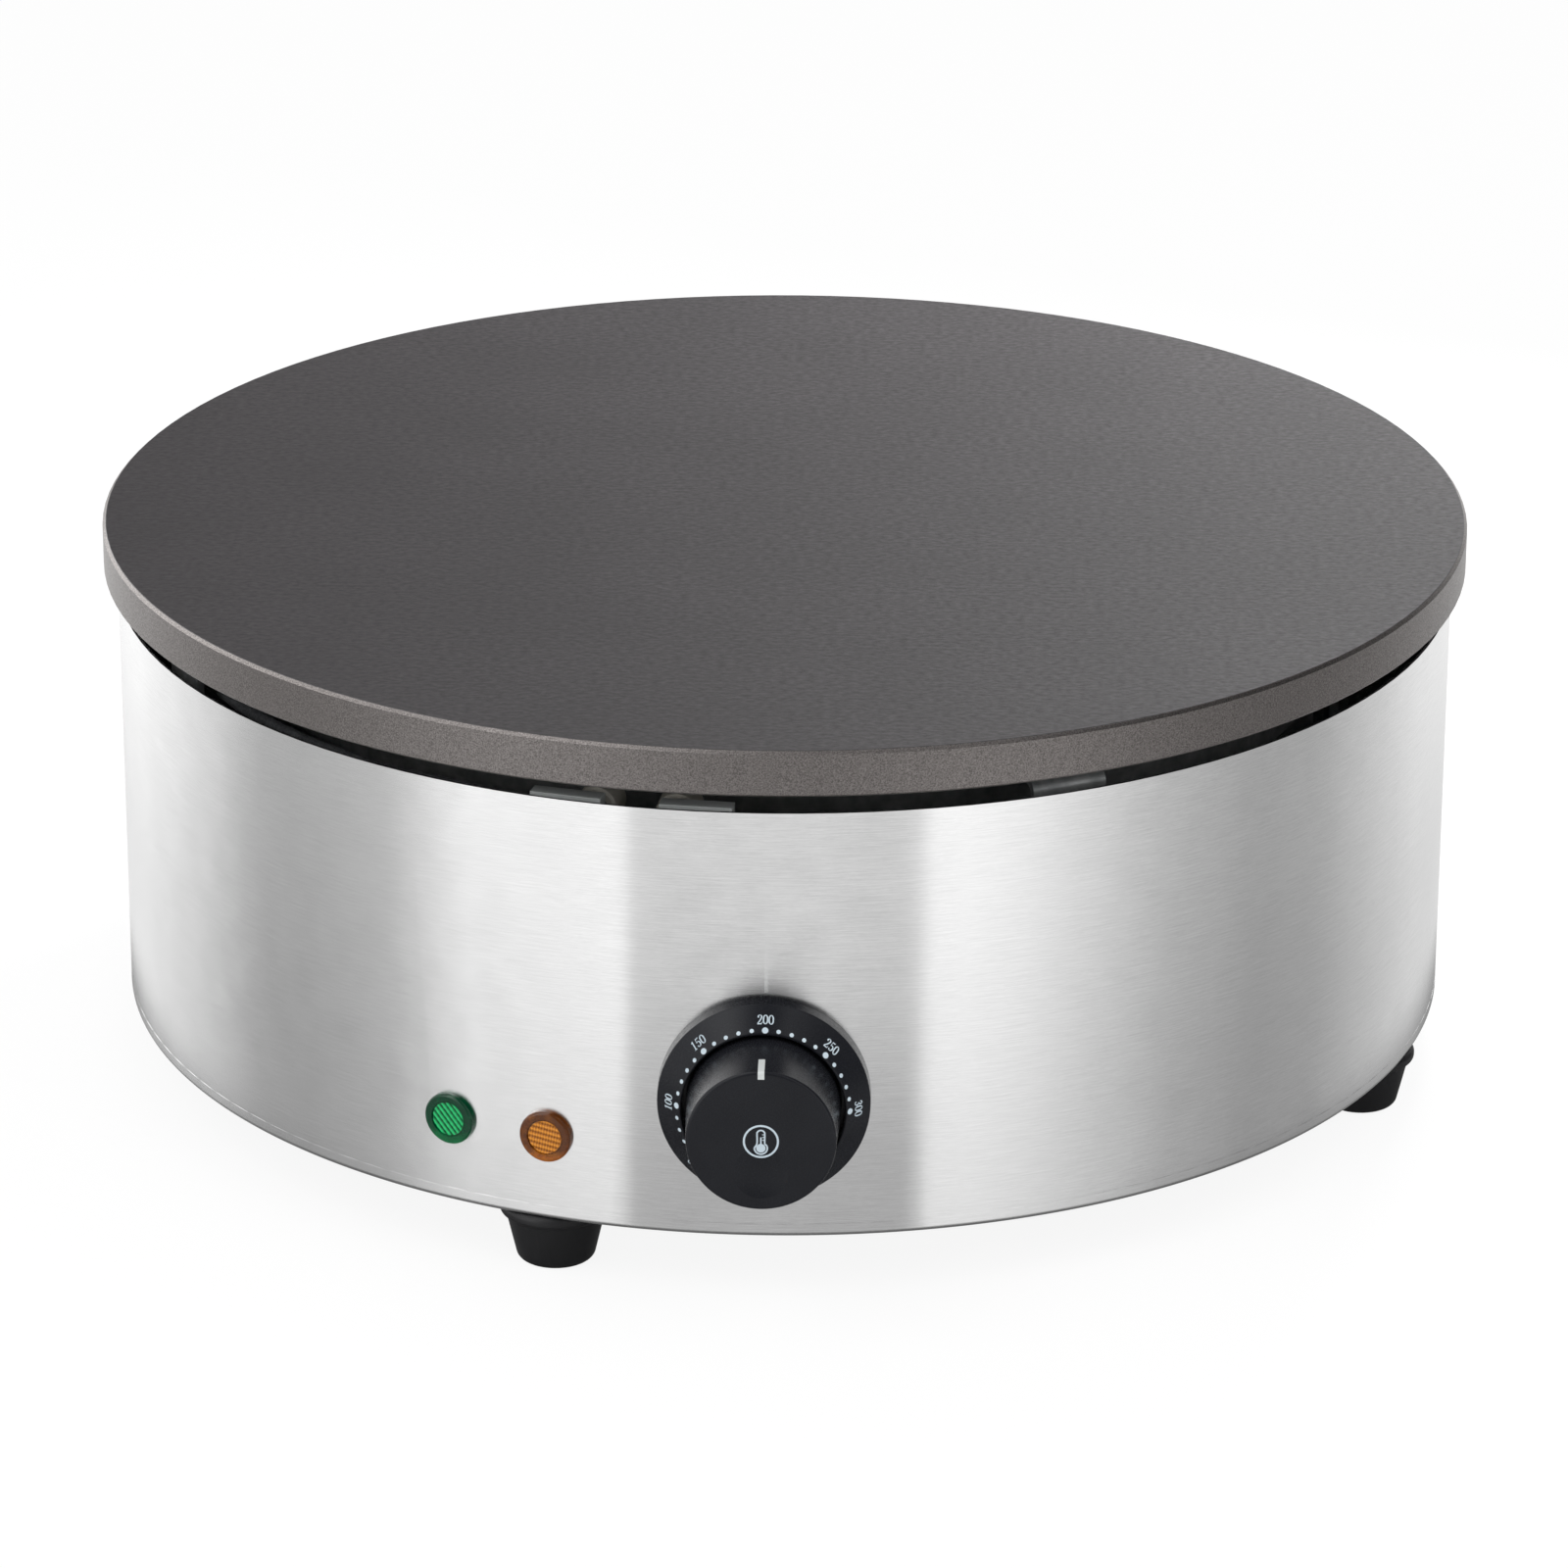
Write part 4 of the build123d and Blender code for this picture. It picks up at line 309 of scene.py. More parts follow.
@dataclass(frozen=True)
class Finish:
    """Look of one kind of surface."""

    def paint(self, tree: Tree) -> None:
        """Draw the finish into an empty tree."""
        raise NotImplementedError

    def material(self, name: str) -> bpy.types.Material:
        """Make the material that carries this finish.

        Args:
            name: The material's name.

        Returns:
            The new material.
        """
        material = bpy.data.materials.new(name)
        self.paint(Tree(material))
        return material


@dataclass(frozen=True)
class CastIron(Finish):
    """Turned cast iron: a satin dark coat on the face, and a warmer, speckled rim."""

    face: Colour = tone(57, 54, 56)
    face_worn: Colour = tone(34, 32, 33)
    rim: Colour = tone(140, 135, 133)
    rim_dark: Colour = tone(98, 94, 92)
    rim_metal: float = 0.92
    rim_width: float = 0.9
    rim_blur: float = 0.08
    face_roughness: float = 0.42
    rim_roughness: float = 0.36
    uneven: float = 0.06
    streak: Grain = Grain(1.5, detail=4.0, rough=0.62, squeeze=(0.6, 1.0, 1.0))
    speck: Grain = Grain(0.4, detail=3.0, rough=0.6)
    speck_half: float = 0.14
    cloud: Grain = Grain(45.0)
    cloud_share: float = 0.25
    tooth_depth: float = 0.12
    tooth_strength: float = 0.6

    def paint(self, tree: Tree) -> None:
        """Draw a satin mottle on the face and a finer grain on the rim.

        Args:
            tree: The material's empty tree.
        """
        place = tree.place()
        x, y, _ = tree.axes(place)
        edge = PLATE_RADIUS - self.rim_width
        on_rim = tree.span(tree.from_axis(x, y), edge - self.rim_blur, edge + self.rim_blur, 0.0, 1.0)
        streak, speck, cloud = (tree.noise(place, grain) for grain in (self.streak, self.speck, self.cloud))
        grain = on_rim * speck + (1 - on_rim) * streak
        face = tree.blend(tree.share(streak), self.face, self.face_worn)
        face = tree.blend(tree.share(cloud) * self.cloud_share, face, self.face_worn)
        rim = tree.blend(tree.share(speck, self.speck_half), self.rim, self.rim_dark)
        rough = tree.drift(grain, -self.uneven, self.uneven)
        tree.surface({
            "Base Color": tree.blend(on_rim, face, rim),
            "Metallic": on_rim * self.rim_metal,
            "Roughness": rough + self.face_roughness - on_rim * (self.face_roughness - self.rim_roughness),
            "Normal": tree.relief(grain, self.tooth_depth, self.tooth_strength),
        })


@dataclass(frozen=True)
class BrushedSteel(Finish):
    """Stainless sheet brushed round the drum."""

    colour: Colour = tone(240, 240, 240)
    shadow: Colour = tone(230, 230, 230)
    brush_length: float = 9.0
    brush_width: float = 0.16
    nick: Grain = Grain(1.0, rough=0.6, squeeze=(0.6, 0.6, 2.5))
    nick_share: float = 0.3
    grain_half: float = 0.14
    mottle: Grain = Grain(11.0)
    mottle_half: float = 0.15
    brush_turn: float = 0.25
    roughness: float = 0.16
    smoother: float = 0.012
    rougher: float = 0.02
    tooth_depth: float = 0.01
    tooth_strength: float = 0.2

    def paint(self, tree: Tree) -> None:
        """Draw fine scratches along the wall and a faint mottle.

        Args:
            tree: The material's empty tree.
        """
        place = tree.place()
        along, across = 1 / self.brush_length, 1 / self.brush_width
        scratch = tree.noise(place, Grain(1.0, squeeze=(along, along, across)))
        grain = scratch * (1 - self.nick_share) + tree.noise(place, self.nick) * self.nick_share
        mottle = (tree.noise(place, self.mottle) + grain) / 2
        tree.surface({
            "Base Color": tree.blend(tree.share(grain, self.grain_half), self.colour, self.shadow),
            "Metallic": 1.0,
            "Roughness": tree.drift(mottle, -self.smoother, self.rougher, self.mottle_half) + self.roughness,
            "Anisotropic": 1.0,
            "Anisotropic Rotation": self.brush_turn,
            "Normal": tree.relief(scratch, self.tooth_depth, self.tooth_strength),
        })


@dataclass(frozen=True)
class SheetMetal(Finish):
    """Bare, plated or spangled metal."""

    light: Colour
    dark: Colour
    patch: float
    roughness: float
    metallic: float = 1.0
    smoother: float = 0.06
    rougher: float = 0.1
    tooth: Grain = Grain(0.4)
    tooth_depth: float = 0.02
    tooth_strength: float = 0.4

    def paint(self, tree: Tree) -> None:
        """Draw soft patches and a fine tooth.

        Args:
            tree: The material's empty tree.
        """
        place = tree.place()
        patch = tree.noise(place, Grain(self.patch, detail=3.0, rough=0.6))
        tree.surface({
            "Base Color": tree.blend(tree.share(patch), self.light, self.dark),
            "Metallic": self.metallic,
            "Roughness": tree.drift(patch, self.roughness - self.smoother, self.roughness + self.rougher),
            "Normal": tree.relief(tree.noise(place, self.tooth), self.tooth_depth, self.tooth_strength),
        })


@dataclass(frozen=True)
class Moulding(Finish):
    """Moulded plastic, rubber, ink or fired clay with a fine tooth."""

    colour: Colour
    worn: Colour
    roughness: float = 0.42
    smoother: float = 0.05
    rougher: float = 0.06
    gloss: float = 0.5
    cloud: Grain = Grain(14.0)
    fresh: float = 0.35
    dull: float = 0.7
    tooth: float = 0.25
    tooth_depth: float = 0.02
    tooth_strength: float = 0.5

    def paint(self, tree: Tree) -> None:
        """Draw a fine tooth with a faint change of tone.

        Args:
            tree: The material's empty tree.
        """
        place = tree.place()
        tooth = tree.noise(place, Grain(self.tooth, rough=0.6))
        wear = tree.span(tree.noise(place, self.cloud), self.fresh, self.dull, 0.0, 1.0)
        tree.surface({
            "Base Color": tree.blend(wear, self.colour, self.worn),
            "Roughness": tree.drift(tooth, self.roughness - self.smoother, self.roughness + self.rougher),
            "Specular IOR Level": self.gloss,
            "Normal": tree.relief(tooth, self.tooth_depth, self.tooth_strength),
        })


@dataclass(frozen=True)
class Tinted(Finish):
    """Clear coloured plastic with a painted glow: the tint is lighter at its lower edge, where light shines
    through, and deeper above.
    """

    colour: Colour
    deep: Colour
    fade_low: float = LAMP_HEIGHT - LENS_RADIUS
    fade_high: float = LAMP_HEIGHT - LENS_RADIUS / 3
    deepest: float = 0.8
    flow: Grain = Grain(2.2)
    flow_share: float = 0.35
    clear: float = 0.6
    roughness: float = 0.04
    smoother: float = 0.02
    rougher: float = 0.03
    gloss: float = 0.25
    bending: float = 1.49

    def paint(self, tree: Tree) -> None:
        """Draw faint flow marks in the tint, and the painted glow that lightens it towards the lower edge.

        Args:
            tree: The material's empty tree.
        """
        place = tree.place()
        flow = tree.noise(place, self.flow)
        _, _, z = tree.axes(place)
        # Painted light: the tint is lightest at the lens's lower edge and deepens upwards.
        depth = tree.span(z, self.fade_low, self.fade_high, 0.0, self.deepest)
        share = depth + tree.share(flow) * self.flow_share
        tree.surface({
            "Base Color": tree.blend(tree.span(share, 0.0, 1.0, 0.0, 1.0), self.colour, self.deep),
            "Roughness": tree.drift(flow, self.roughness - self.smoother, self.roughness + self.rougher),
            "IOR": self.bending,
            "Specular IOR Level": self.gloss,
            "Transmission Weight": self.clear,
        })


@dataclass(frozen=True)
class Ribbed(Finish):
    """Diffuser with painted light and shade: lighter crests and darker troughs, by height over the lamp's window.
    """

    crest: Colour
    trough: Colour
    azimuth: float
    low: float
    high: float
    height_share: float = 0.8
    fleck: Grain = Grain(0.35, rough=0.6)
    fleck_share: float = 0.3
    darkest: float = 0.25
    lightest: float = 0.85
    smooth: float = 0.22
    rough: float = 0.34
    gloss: float = 0.3
    tooth_depth: float = 0.01
    tooth_strength: float = 0.3

    def paint(self, tree: Tree) -> None:
        """Paint light onto the ribs' crests and shade into their troughs.

        Args:
            tree: The material's empty tree.
        """
        place = tree.place()
        x, y, _ = tree.axes(place)
        out, _ = around(self.azimuth)
        # Painted light and shade: the colour runs from the dark trough to the light crest with the rib's height.
        height = tree.span(x * out.x + y * out.y, self.low, self.high, 0.0, 1.0)
        fleck = tree.noise(place, self.fleck)
        share = height * self.height_share + fleck * self.fleck_share
        share = tree.span(share, self.darkest, self.lightest, 0.0, 1.0)
        tree.surface({
            "Base Color": tree.blend(share, self.trough, self.crest),
            "Roughness": tree.drift(fleck, self.smooth, self.rough),
            "Specular IOR Level": self.gloss,
            "Normal": tree.relief(fleck, self.tooth_depth, self.tooth_strength),
        })


@dataclass(frozen=True)
class Fibre(Finish):
    """Mineral wool or a braided sleeve."""

    light: Colour
    dark: Colour
    strand: float
    strand_depth: float
    strand_pull: Place = (1.0, 1.0, 0.4)
    lump: float = 8.0
    lump_share: float = 0.3
    smooth: float = 0.7
    rough: float = 0.95
    tooth_strength: float = 0.7

    def paint(self, tree: Tree) -> None:
        """Draw crossing strands.

        Args:
            tree: The material's empty tree.
        """
        place = tree.place()
        strands = tree.noise(place, Grain(self.strand, detail=3.0, rough=0.7, squeeze=self.strand_pull))
        lumps = tree.noise(place, Grain(self.lump * self.strand))
        share = tree.share(strands * (1 - self.lump_share) + lumps * self.lump_share)
        tree.surface({
            "Base Color": tree.blend(share, self.dark, self.light),
            "Roughness": tree.drift(strands, self.smooth, self.rough),
            "Normal": tree.relief(strands, self.strand_depth, self.tooth_strength),
        })


class Slot(Enum):
    """Material slots of the record."""

    CAST_IRON = "cast_iron"
    STAINLESS = "stainless"
    GALVANISED = "galvanised"
    ZINC_STEEL = "zinc_steel"
    ELEMENT_SHEATH = "element_sheath"
    CERAMIC = "ceramic"
    MINERAL_WOOL = "mineral_wool"
    COPPER = "copper"
    BRASS = "brass"
    BLACK_PLASTIC = "black_plastic"
    WHITE_PLASTIC = "white_plastic"
    GREEN_LENS = "green_lens"
    AMBER_LENS = "amber_lens"
    RUBBER = "rubber"
    BROWN_SILICONE = "brown_silicone"
    BLUE_SILICONE = "blue_silicone"
    GREEN_SILICONE = "green_silicone"
    THIN_LEAD = "thin_lead"


FINISHES: dict[Slot, Finish] = {
    Slot.CAST_IRON: CastIron(),
    Slot.STAINLESS: BrushedSteel(),
    Slot.GALVANISED: SheetMetal(tone(190, 192, 192), tone(158, 161, 162), patch=7.0, roughness=0.38,
                                metallic=0.6),
    Slot.ZINC_STEEL: SheetMetal(tone(190, 192, 190), tone(160, 162, 160), patch=2.0, roughness=0.3),
    Slot.ELEMENT_SHEATH: SheetMetal(tone(96, 92, 86), tone(62, 58, 54), patch=5.0, roughness=0.48),
    Slot.COPPER: SheetMetal(tone(196, 128, 92), tone(150, 92, 64), patch=4.0, roughness=0.32),
    Slot.BRASS: SheetMetal(tone(206, 176, 110), tone(170, 140, 84), patch=3.0, roughness=0.3),
    Slot.CERAMIC: Moulding(tone(226, 222, 212), tone(205, 200, 188), roughness=0.5, tooth=0.3,
                           tooth_depth=0.03),
    Slot.BLACK_PLASTIC: Moulding(tone(27, 28, 32), tone(30, 31, 35), roughness=0.25, gloss=0.18,
                                 tooth=0.22, tooth_depth=0.008),
    Slot.WHITE_PLASTIC: Moulding(tone(206, 210, 209), tone(190, 194, 193), roughness=0.4),
    Slot.RUBBER: Moulding(tone(22, 22, 24), tone(28, 28, 30), roughness=0.5, gloss=0.4, tooth=0.3),
    Slot.THIN_LEAD: Moulding(tone(70, 66, 64), tone(52, 48, 46), roughness=0.5),
    Slot.GREEN_LENS: Tinted(tone(0, 156, 88), tone(0, 84, 54)),
    Slot.AMBER_LENS: Tinted(tone(226, 136, 30), tone(124, 66, 18)),
    Slot.MINERAL_WOOL: Fibre(tone(216, 212, 200), tone(168, 162, 148), strand=0.8, strand_depth=0.5),
    Slot.BROWN_SILICONE: Fibre(tone(128, 120, 112), tone(74, 66, 58), strand=0.5, strand_depth=0.12),
    Slot.BLUE_SILICONE: Fibre(tone(126, 128, 130), tone(66, 68, 72), strand=0.5, strand_depth=0.12),
    Slot.GREEN_SILICONE: Fibre(tone(150, 160, 60), tone(60, 110, 50), strand=0.9, strand_depth=0.08),
}


class Workshop:
    """Makes each slot's material once and hands it to the CAD nodes."""

    def __init__(self) -> None:
        """Start with no materials."""
        self._made: dict[Slot, bpy.types.Material] = {}

    def material(self, slot: Slot) -> bpy.types.Material:
        """The material of a slot, made when it is first asked for.

        Args:
            slot: The record's slot.

        Returns:
            Its material.
        """
        if slot not in self._made:
            self._made[slot] = FINISHES[slot].material(slot.value)
        return self._made[slot]

    def dress_nodes(self) -> None:
        """Give every CAD node the material of its record slot."""
        slot_of = {row["node"]: Slot(row["material_slot"]) for row in frame["record"]["subparts"]}
        for name, node in sorted(frame["nodes"].items()):
            material = self.material(slot_of[name])
            for index in range(len(node.material_slots)):
                node.material_slots[index].material = material
            log.info("%s dressed as %s", name, slot_of[name].value)


# ---------------------------------------------------------------- meshes


def inside(shape: Outline, x: float, y: float) -> bool:
    """Whether a flat point lies inside an outline.

    The cut's own record of which outline a triangle came from misses some where outlines overlap.

    Args:
        shape: The outline.
        x: The point's x.
        y: The point's y.

    Returns:
        True if a line from the point crosses the outline an odd number of times.
    """
    crossings = 0
    for (x0, y0), (x1, y1) in zip(shape, [*shape[1:], shape[0]]):
        if (y0 > y) != (y1 > y) and x < x0 + (y - y0) / (y1 - y0) * (x1 - x0):
            crossings += 1
    return crossings % 2 == 1


@dataclass
class Slabs:
    """Closed, thin-walled shapes that build up into one piece."""

    points: list[Vector] = field(default_factory=list)
    faces: list[list[int]] = field(default_factory=list)
    whole_hull: int = 0
    merge_within: float = 1e-5

    def add(
        self,
        shapes: Sequence[Outline],
        top: Callable[[float, float], Vector],
        under: Callable[[float, float], Vector],
        extra: Outline = (),
    ) -> None:
        """Join flat outlines into one slab.

        The hull of all points is cut into triangles, and those whose middle lies in an outline are kept.

        Args:
            shapes: Outlines on the flat, which may overlap.
            top: Places a flat point on the slab's upper side.
            under: Places it on the underside.
            extra: More points of the surface, inside the outlines.
        """
        flat = [Vector(point) for shape in (*shapes, extra) for point in shape]
        ends = accumulate(len(shape) for shape in shapes)
        rings = [list(range(end - len(shape), end)) for shape, end in zip(shapes, ends)]
        spots, _, cells, *_ = delaunay_2d_cdt(flat, [], rings, self.whole_hull, self.merge_within)
        triangles = []
        for cell in cells:
            middle = sum((spots[index] for index in cell), Vector((0, 0))) / len(cell)
            if any(inside(shape, middle.x, middle.y) for shape in shapes):
                triangles.append(list(cell))
        start, count = len(self.points), len(spots)
        self.points += [put(spot.x, spot.y) for put in (top, under) for spot in spots]
        edges = {pair for cell in triangles for pair in zip(cell, cell[1:] + cell[:1])}
        sides = [[b, a, a + count, b + count] for a, b in edges if (b, a) not in edges]
        backs = [[index + count for index in reversed(cell)] for cell in triangles]
        self.faces += [[index + start for index in face] for face in triangles + backs + sorted(sides)]

    def turn(self, section: Outline, steps: int) -> None:
        """Turn a closed section round the shell's axis.

        Args:
            section: Its corners, as distance from the axis and height.
            steps: Number of sections in a full turn.
        """
        start, count = len(self.points), len(section)
        for step in range(steps):
            out, _ = around(360 * step / steps)
            self.points += [out * reach + Vector((0, 0, level)) for reach, level in section]
            here, there = start + step * count, start + (step + 1) % steps * count
            for index in range(count):
                after = (index + 1) % count
                self.faces.append([here + index, here + after, there + after, there + index])

    def settle(self, name: str, material: bpy.types.Material, body: Body, slot: Slot) -> bpy.types.Object:
        """Turn the slabs into a piece that rides on a body.

        Args:
            name: The piece's name.
            material: The finish that it wears.
            body: The body that it moves with.
            slot: Not used.

        Returns:
            The new object.
        """
        mesh = bpy.data.meshes.new(name)
        mesh.from_pydata([tuple(point * MM) for point in self.points], [], self.faces)
        mesh.validate()
        mesh.materials.append(material)
        piece = bpy.data.objects.new(name, mesh)
        bpy.context.scene.collection.objects.link(piece)
        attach(piece, body.value)
        log.info("%s made with %d faces", name, len(mesh.polygons))
        return piece


@dataclass(frozen=True)
class Pen:
    """A broad nib: full width on upright strokes, thin on level ones."""

    thick: float
    thin: float
    steps: int = 10
    swell: float = 1.5

    def stroke(self, corners: Outline, closed: bool = False) -> list[Outline]:
        """Draw a smooth stroke through points.

        Args:
            corners: The points that the middle of the stroke goes through.
            closed: Whether the stroke comes back to its start.

        Returns:
            Small quads that cover the stroke.
        """
        line = self._smooth(corners, closed)
        sides = []
        count = len(line)
        for index, (x, y) in enumerate(line):
            before = line[index - 1] if index > 0 or closed else line[index]
            after = line[(index + 1) % count] if index < count - 1 or closed else line[index]
            step_x, step_y = after[0] - before[0], after[1] - before[1]
            length = math.hypot(step_x, step_y)
            upright = abs(step_y) / length
            half = (self.thin + (self.thick - self.thin) * upright**self.swell) / 2
            off_x, off_y = -step_y / length * half, step_x / length * half
            sides.append(((x + off_x, y + off_y), (x - off_x, y - off_y)))
        quads = []
        for index in range(count if closed else count - 1):
            (left, right), (next_left, next_right) = sides[index], sides[(index + 1) % count]
            quads.append([left, next_left, next_right, right])
        return quads

    def _smooth(self, corners: Outline, closed: bool) -> Outline:
        """Run a smooth curve through the corners.

        Args:
            corners: The points to go through.
            closed: Whether the curve comes back to its start.

        Returns:
            Points along the curve.
        """
        count = len(corners)
        if count == 2:
            return list(corners)
        line = []
        for index in range(count if closed else count - 1):
            ends = range(index - 1, index + 3)
            knots = [corners[end % count if closed else min(max(end, 0), count - 1)] for end in ends]
            line += [self._between(knots, step / self.steps) for step in range(self.steps)]
        return line if closed else line + [corners[-1]]

    @staticmethod
    def _between(knots: Sequence[Flat], share: float) -> Flat:
        """Point on a Catmull-Rom curve between the middle two of four knots.

        Args:
            knots: Four points in order.
            share: How far along the middle span, from 0 to 1.

        Returns:
            The point.
        """
        square, cube = share * share, share * share * share
        weights = (
            -0.5 * share + square - 0.5 * cube,
            1 - 2.5 * square + 1.5 * cube,
            0.5 * share + 2 * square - 1.5 * cube,
            -0.5 * square + 0.5 * cube,
        )
        x = sum(weight * knot[0] for weight, knot in zip(weights, knots))
        y = sum(weight * knot[1] for weight, knot in zip(weights, knots))
        return (x, y)


def disc(x: float, y: float, radius: float, sides: int = 24) -> Outline:
    """Outline of a round mark."""
    turns = [2 * math.pi * index / sides for index in range(sides)]
    return [(x + radius * math.cos(turn), y + radius * math.sin(turn)) for turn in turns]


# ---------------------------------------------------------------- dial


@dataclass(frozen=True)
class Glyphs:
    """Upright numerals with thick stems and thin arches, one unit tall, from x = 0 and y = 0 up."""

    pen: Pen = Pen(0.125, 0.05)
    hair: Pen = Pen(0.05, 0.05)
    advance: float = 0.53
    ball: float = 0.06
    ball_sides: int = 12

    def text(self, words: str, height: float, width: float) -> list[Outline]:
        """Set numerals in a row, centred on the origin.

        Args:
            words: The numerals.
            height: Their height.
            width: Width of the row.

        Returns:
            Overlapping outlines.
        """
        drawn = {"0": self.nought, "1": self.one, "2": self.two, "3": self.three, "5": self.five}
        scale = width / (self.advance * len(words))
        start = -self.advance * len(words) / 2
        shapes = []
        for index, digit in enumerate(words):
            left = start + index * self.advance
            shapes += [[((left + x) * scale, (y - 0.5) * height) for x, y in shape]
                       for shape in drawn[digit]()]
        return shapes

    def end_ball(self, x: float, y: float) -> Outline:
        """The round end of a stroke."""
        return disc(x, y, self.ball, self.ball_sides)

    def nought(self) -> list[Outline]:
        """The numeral 0."""
        return self.pen.stroke([(0.26, 0.97), (0.1, 0.79), (0.075, 0.5), (0.1, 0.21), (0.26, 0.03),
                                (0.42, 0.21), (0.445, 0.5), (0.42, 0.79)], closed=True)

    def one(self) -> list[Outline]:
        """The numeral 1: stem, foot and flag."""
        return [[(0.21, 0.03), (0.33, 0.03), (0.33, 1.0), (0.28, 1.0), (0.21, 0.93)],
                [(0.12, 0.0), (0.43, 0.0), (0.43, 0.05), (0.12, 0.05)],
                [(0.11, 0.86), (0.11, 0.82), (0.22, 0.86), (0.28, 1.0)]]

    def two(self) -> list[Outline]:
        """The numeral 2.

        Returns:
            Its arch, foot and end.
        """
        arch = self.pen.stroke([(0.1, 0.74), (0.14, 0.91), (0.27, 0.97), (0.4, 0.87), (0.4, 0.67),
                                (0.27, 0.38), (0.08, 0.1)])
        foot = [(0.05, 0.0), (0.45, 0.0), (0.48, 0.24), (0.44, 0.24), (0.4, 0.1), (0.05, 0.1)]
        return arch + [foot, self.end_ball(0.135, 0.75)]

    def three(self) -> list[Outline]:
        """The numeral 3.

        Returns:
            Its two bowls and their ends.
        """
        upper = self.pen.stroke([(0.11, 0.83), (0.25, 0.97), (0.39, 0.82), (0.35, 0.62), (0.2, 0.53)])
        lower = self.pen.stroke([(0.2, 0.53), (0.37, 0.44), (0.42, 0.24), (0.26, 0.03), (0.09, 0.15)])
        return upper + lower + [self.end_ball(0.13, 0.8), self.end_ball(0.11, 0.17)]

    def five(self) -> list[Outline]:
        """The numeral 5.

        Returns:
            Its flag, end, stem and bowl.
        """
        flag = [(0.13, 0.88), (0.39, 0.88), (0.44, 1.02), (0.4, 1.02), (0.36, 0.98), (0.13, 0.98)]
        stem = self.hair.stroke([(0.14, 0.98), (0.11, 0.5)])
        bowl = self.pen.stroke([(0.11, 0.52), (0.27, 0.6), (0.42, 0.45), (0.41, 0.18), (0.26, 0.03),
                                (0.09, 0.14)])
        return [flag, self.end_ball(0.11, 0.17)] + stem + bowl


@dataclass(frozen=True)
class Thermometer:
    """The mark on the knob: a thermometer in a ring."""

    ring_radius: float = 4.6
    ring_line: float = 0.55
    line: float = 0.42
    line_steps: int = 4
    bulb_level: float = -2.0
    bulb_radius: float = 1.75
    stem_radius: float = 1.05
    stem_top: float = 3.3
    fill_top: float = 1.2
    fill_gap: float = 0.462
    tick_start: float = 0.336
    ticks: tuple[float, ...] = (0.3, 1.1, 1.9)
    cap_turns: Sequence[int] = range(150, 29, -30)
    bulb_turns: Sequence[int] = range(20, 260, 24)

    def shapes(self) -> list[Outline]:
        """Draw the mark about the origin.

        Returns:
            Overlapping outlines.
        """
        half = self.line / 2
        ring = Pen(self.ring_line, self.ring_line, self.line_steps)
        pen = Pen(self.line, self.line, self.line_steps)
        shapes = ring.stroke(disc(0, 0, self.ring_radius), closed=True)
        shapes += pen.stroke(self.glass(), closed=True)
        shapes.append(disc(0, self.bulb_level, self.bulb_radius - self.fill_gap))
        shapes.append([(-half, self.bulb_level), (half, self.bulb_level),
                       (half, self.fill_top), (-half, self.fill_top)])
        for level in self.ticks:
            shapes.append([(self.tick_start, level), (self.stem_radius, level),
                           (self.stem_radius, level + half), (self.tick_start, level + half)])
        return shapes

    def glass(self) -> Outline:
        """Middle line of the glass: up the left side, over the top, down the right and round the bulb.

        Returns:
            Its corners.
        """
        stem, bulb = self.stem_radius, self.bulb_radius
        neck = self.bulb_level + math.sqrt(bulb * bulb - stem * stem)
        cap = self.stem_top - stem
        open_half = math.degrees(math.acos(stem / bulb))
        over_top = [math.radians(angle) for angle in self.cap_turns]
        round_bulb = [math.radians(open_half - angle) for angle in self.bulb_turns]
        return [
            (-stem, neck),
            (-stem, cap),
            *((stem * math.cos(turn), cap + stem * math.sin(turn)) for turn in over_top),
            (stem, cap),
            (stem, neck),
            *((bulb * math.cos(turn), self.bulb_level + bulb * math.sin(turn)) for turn in round_bulb),
        ]


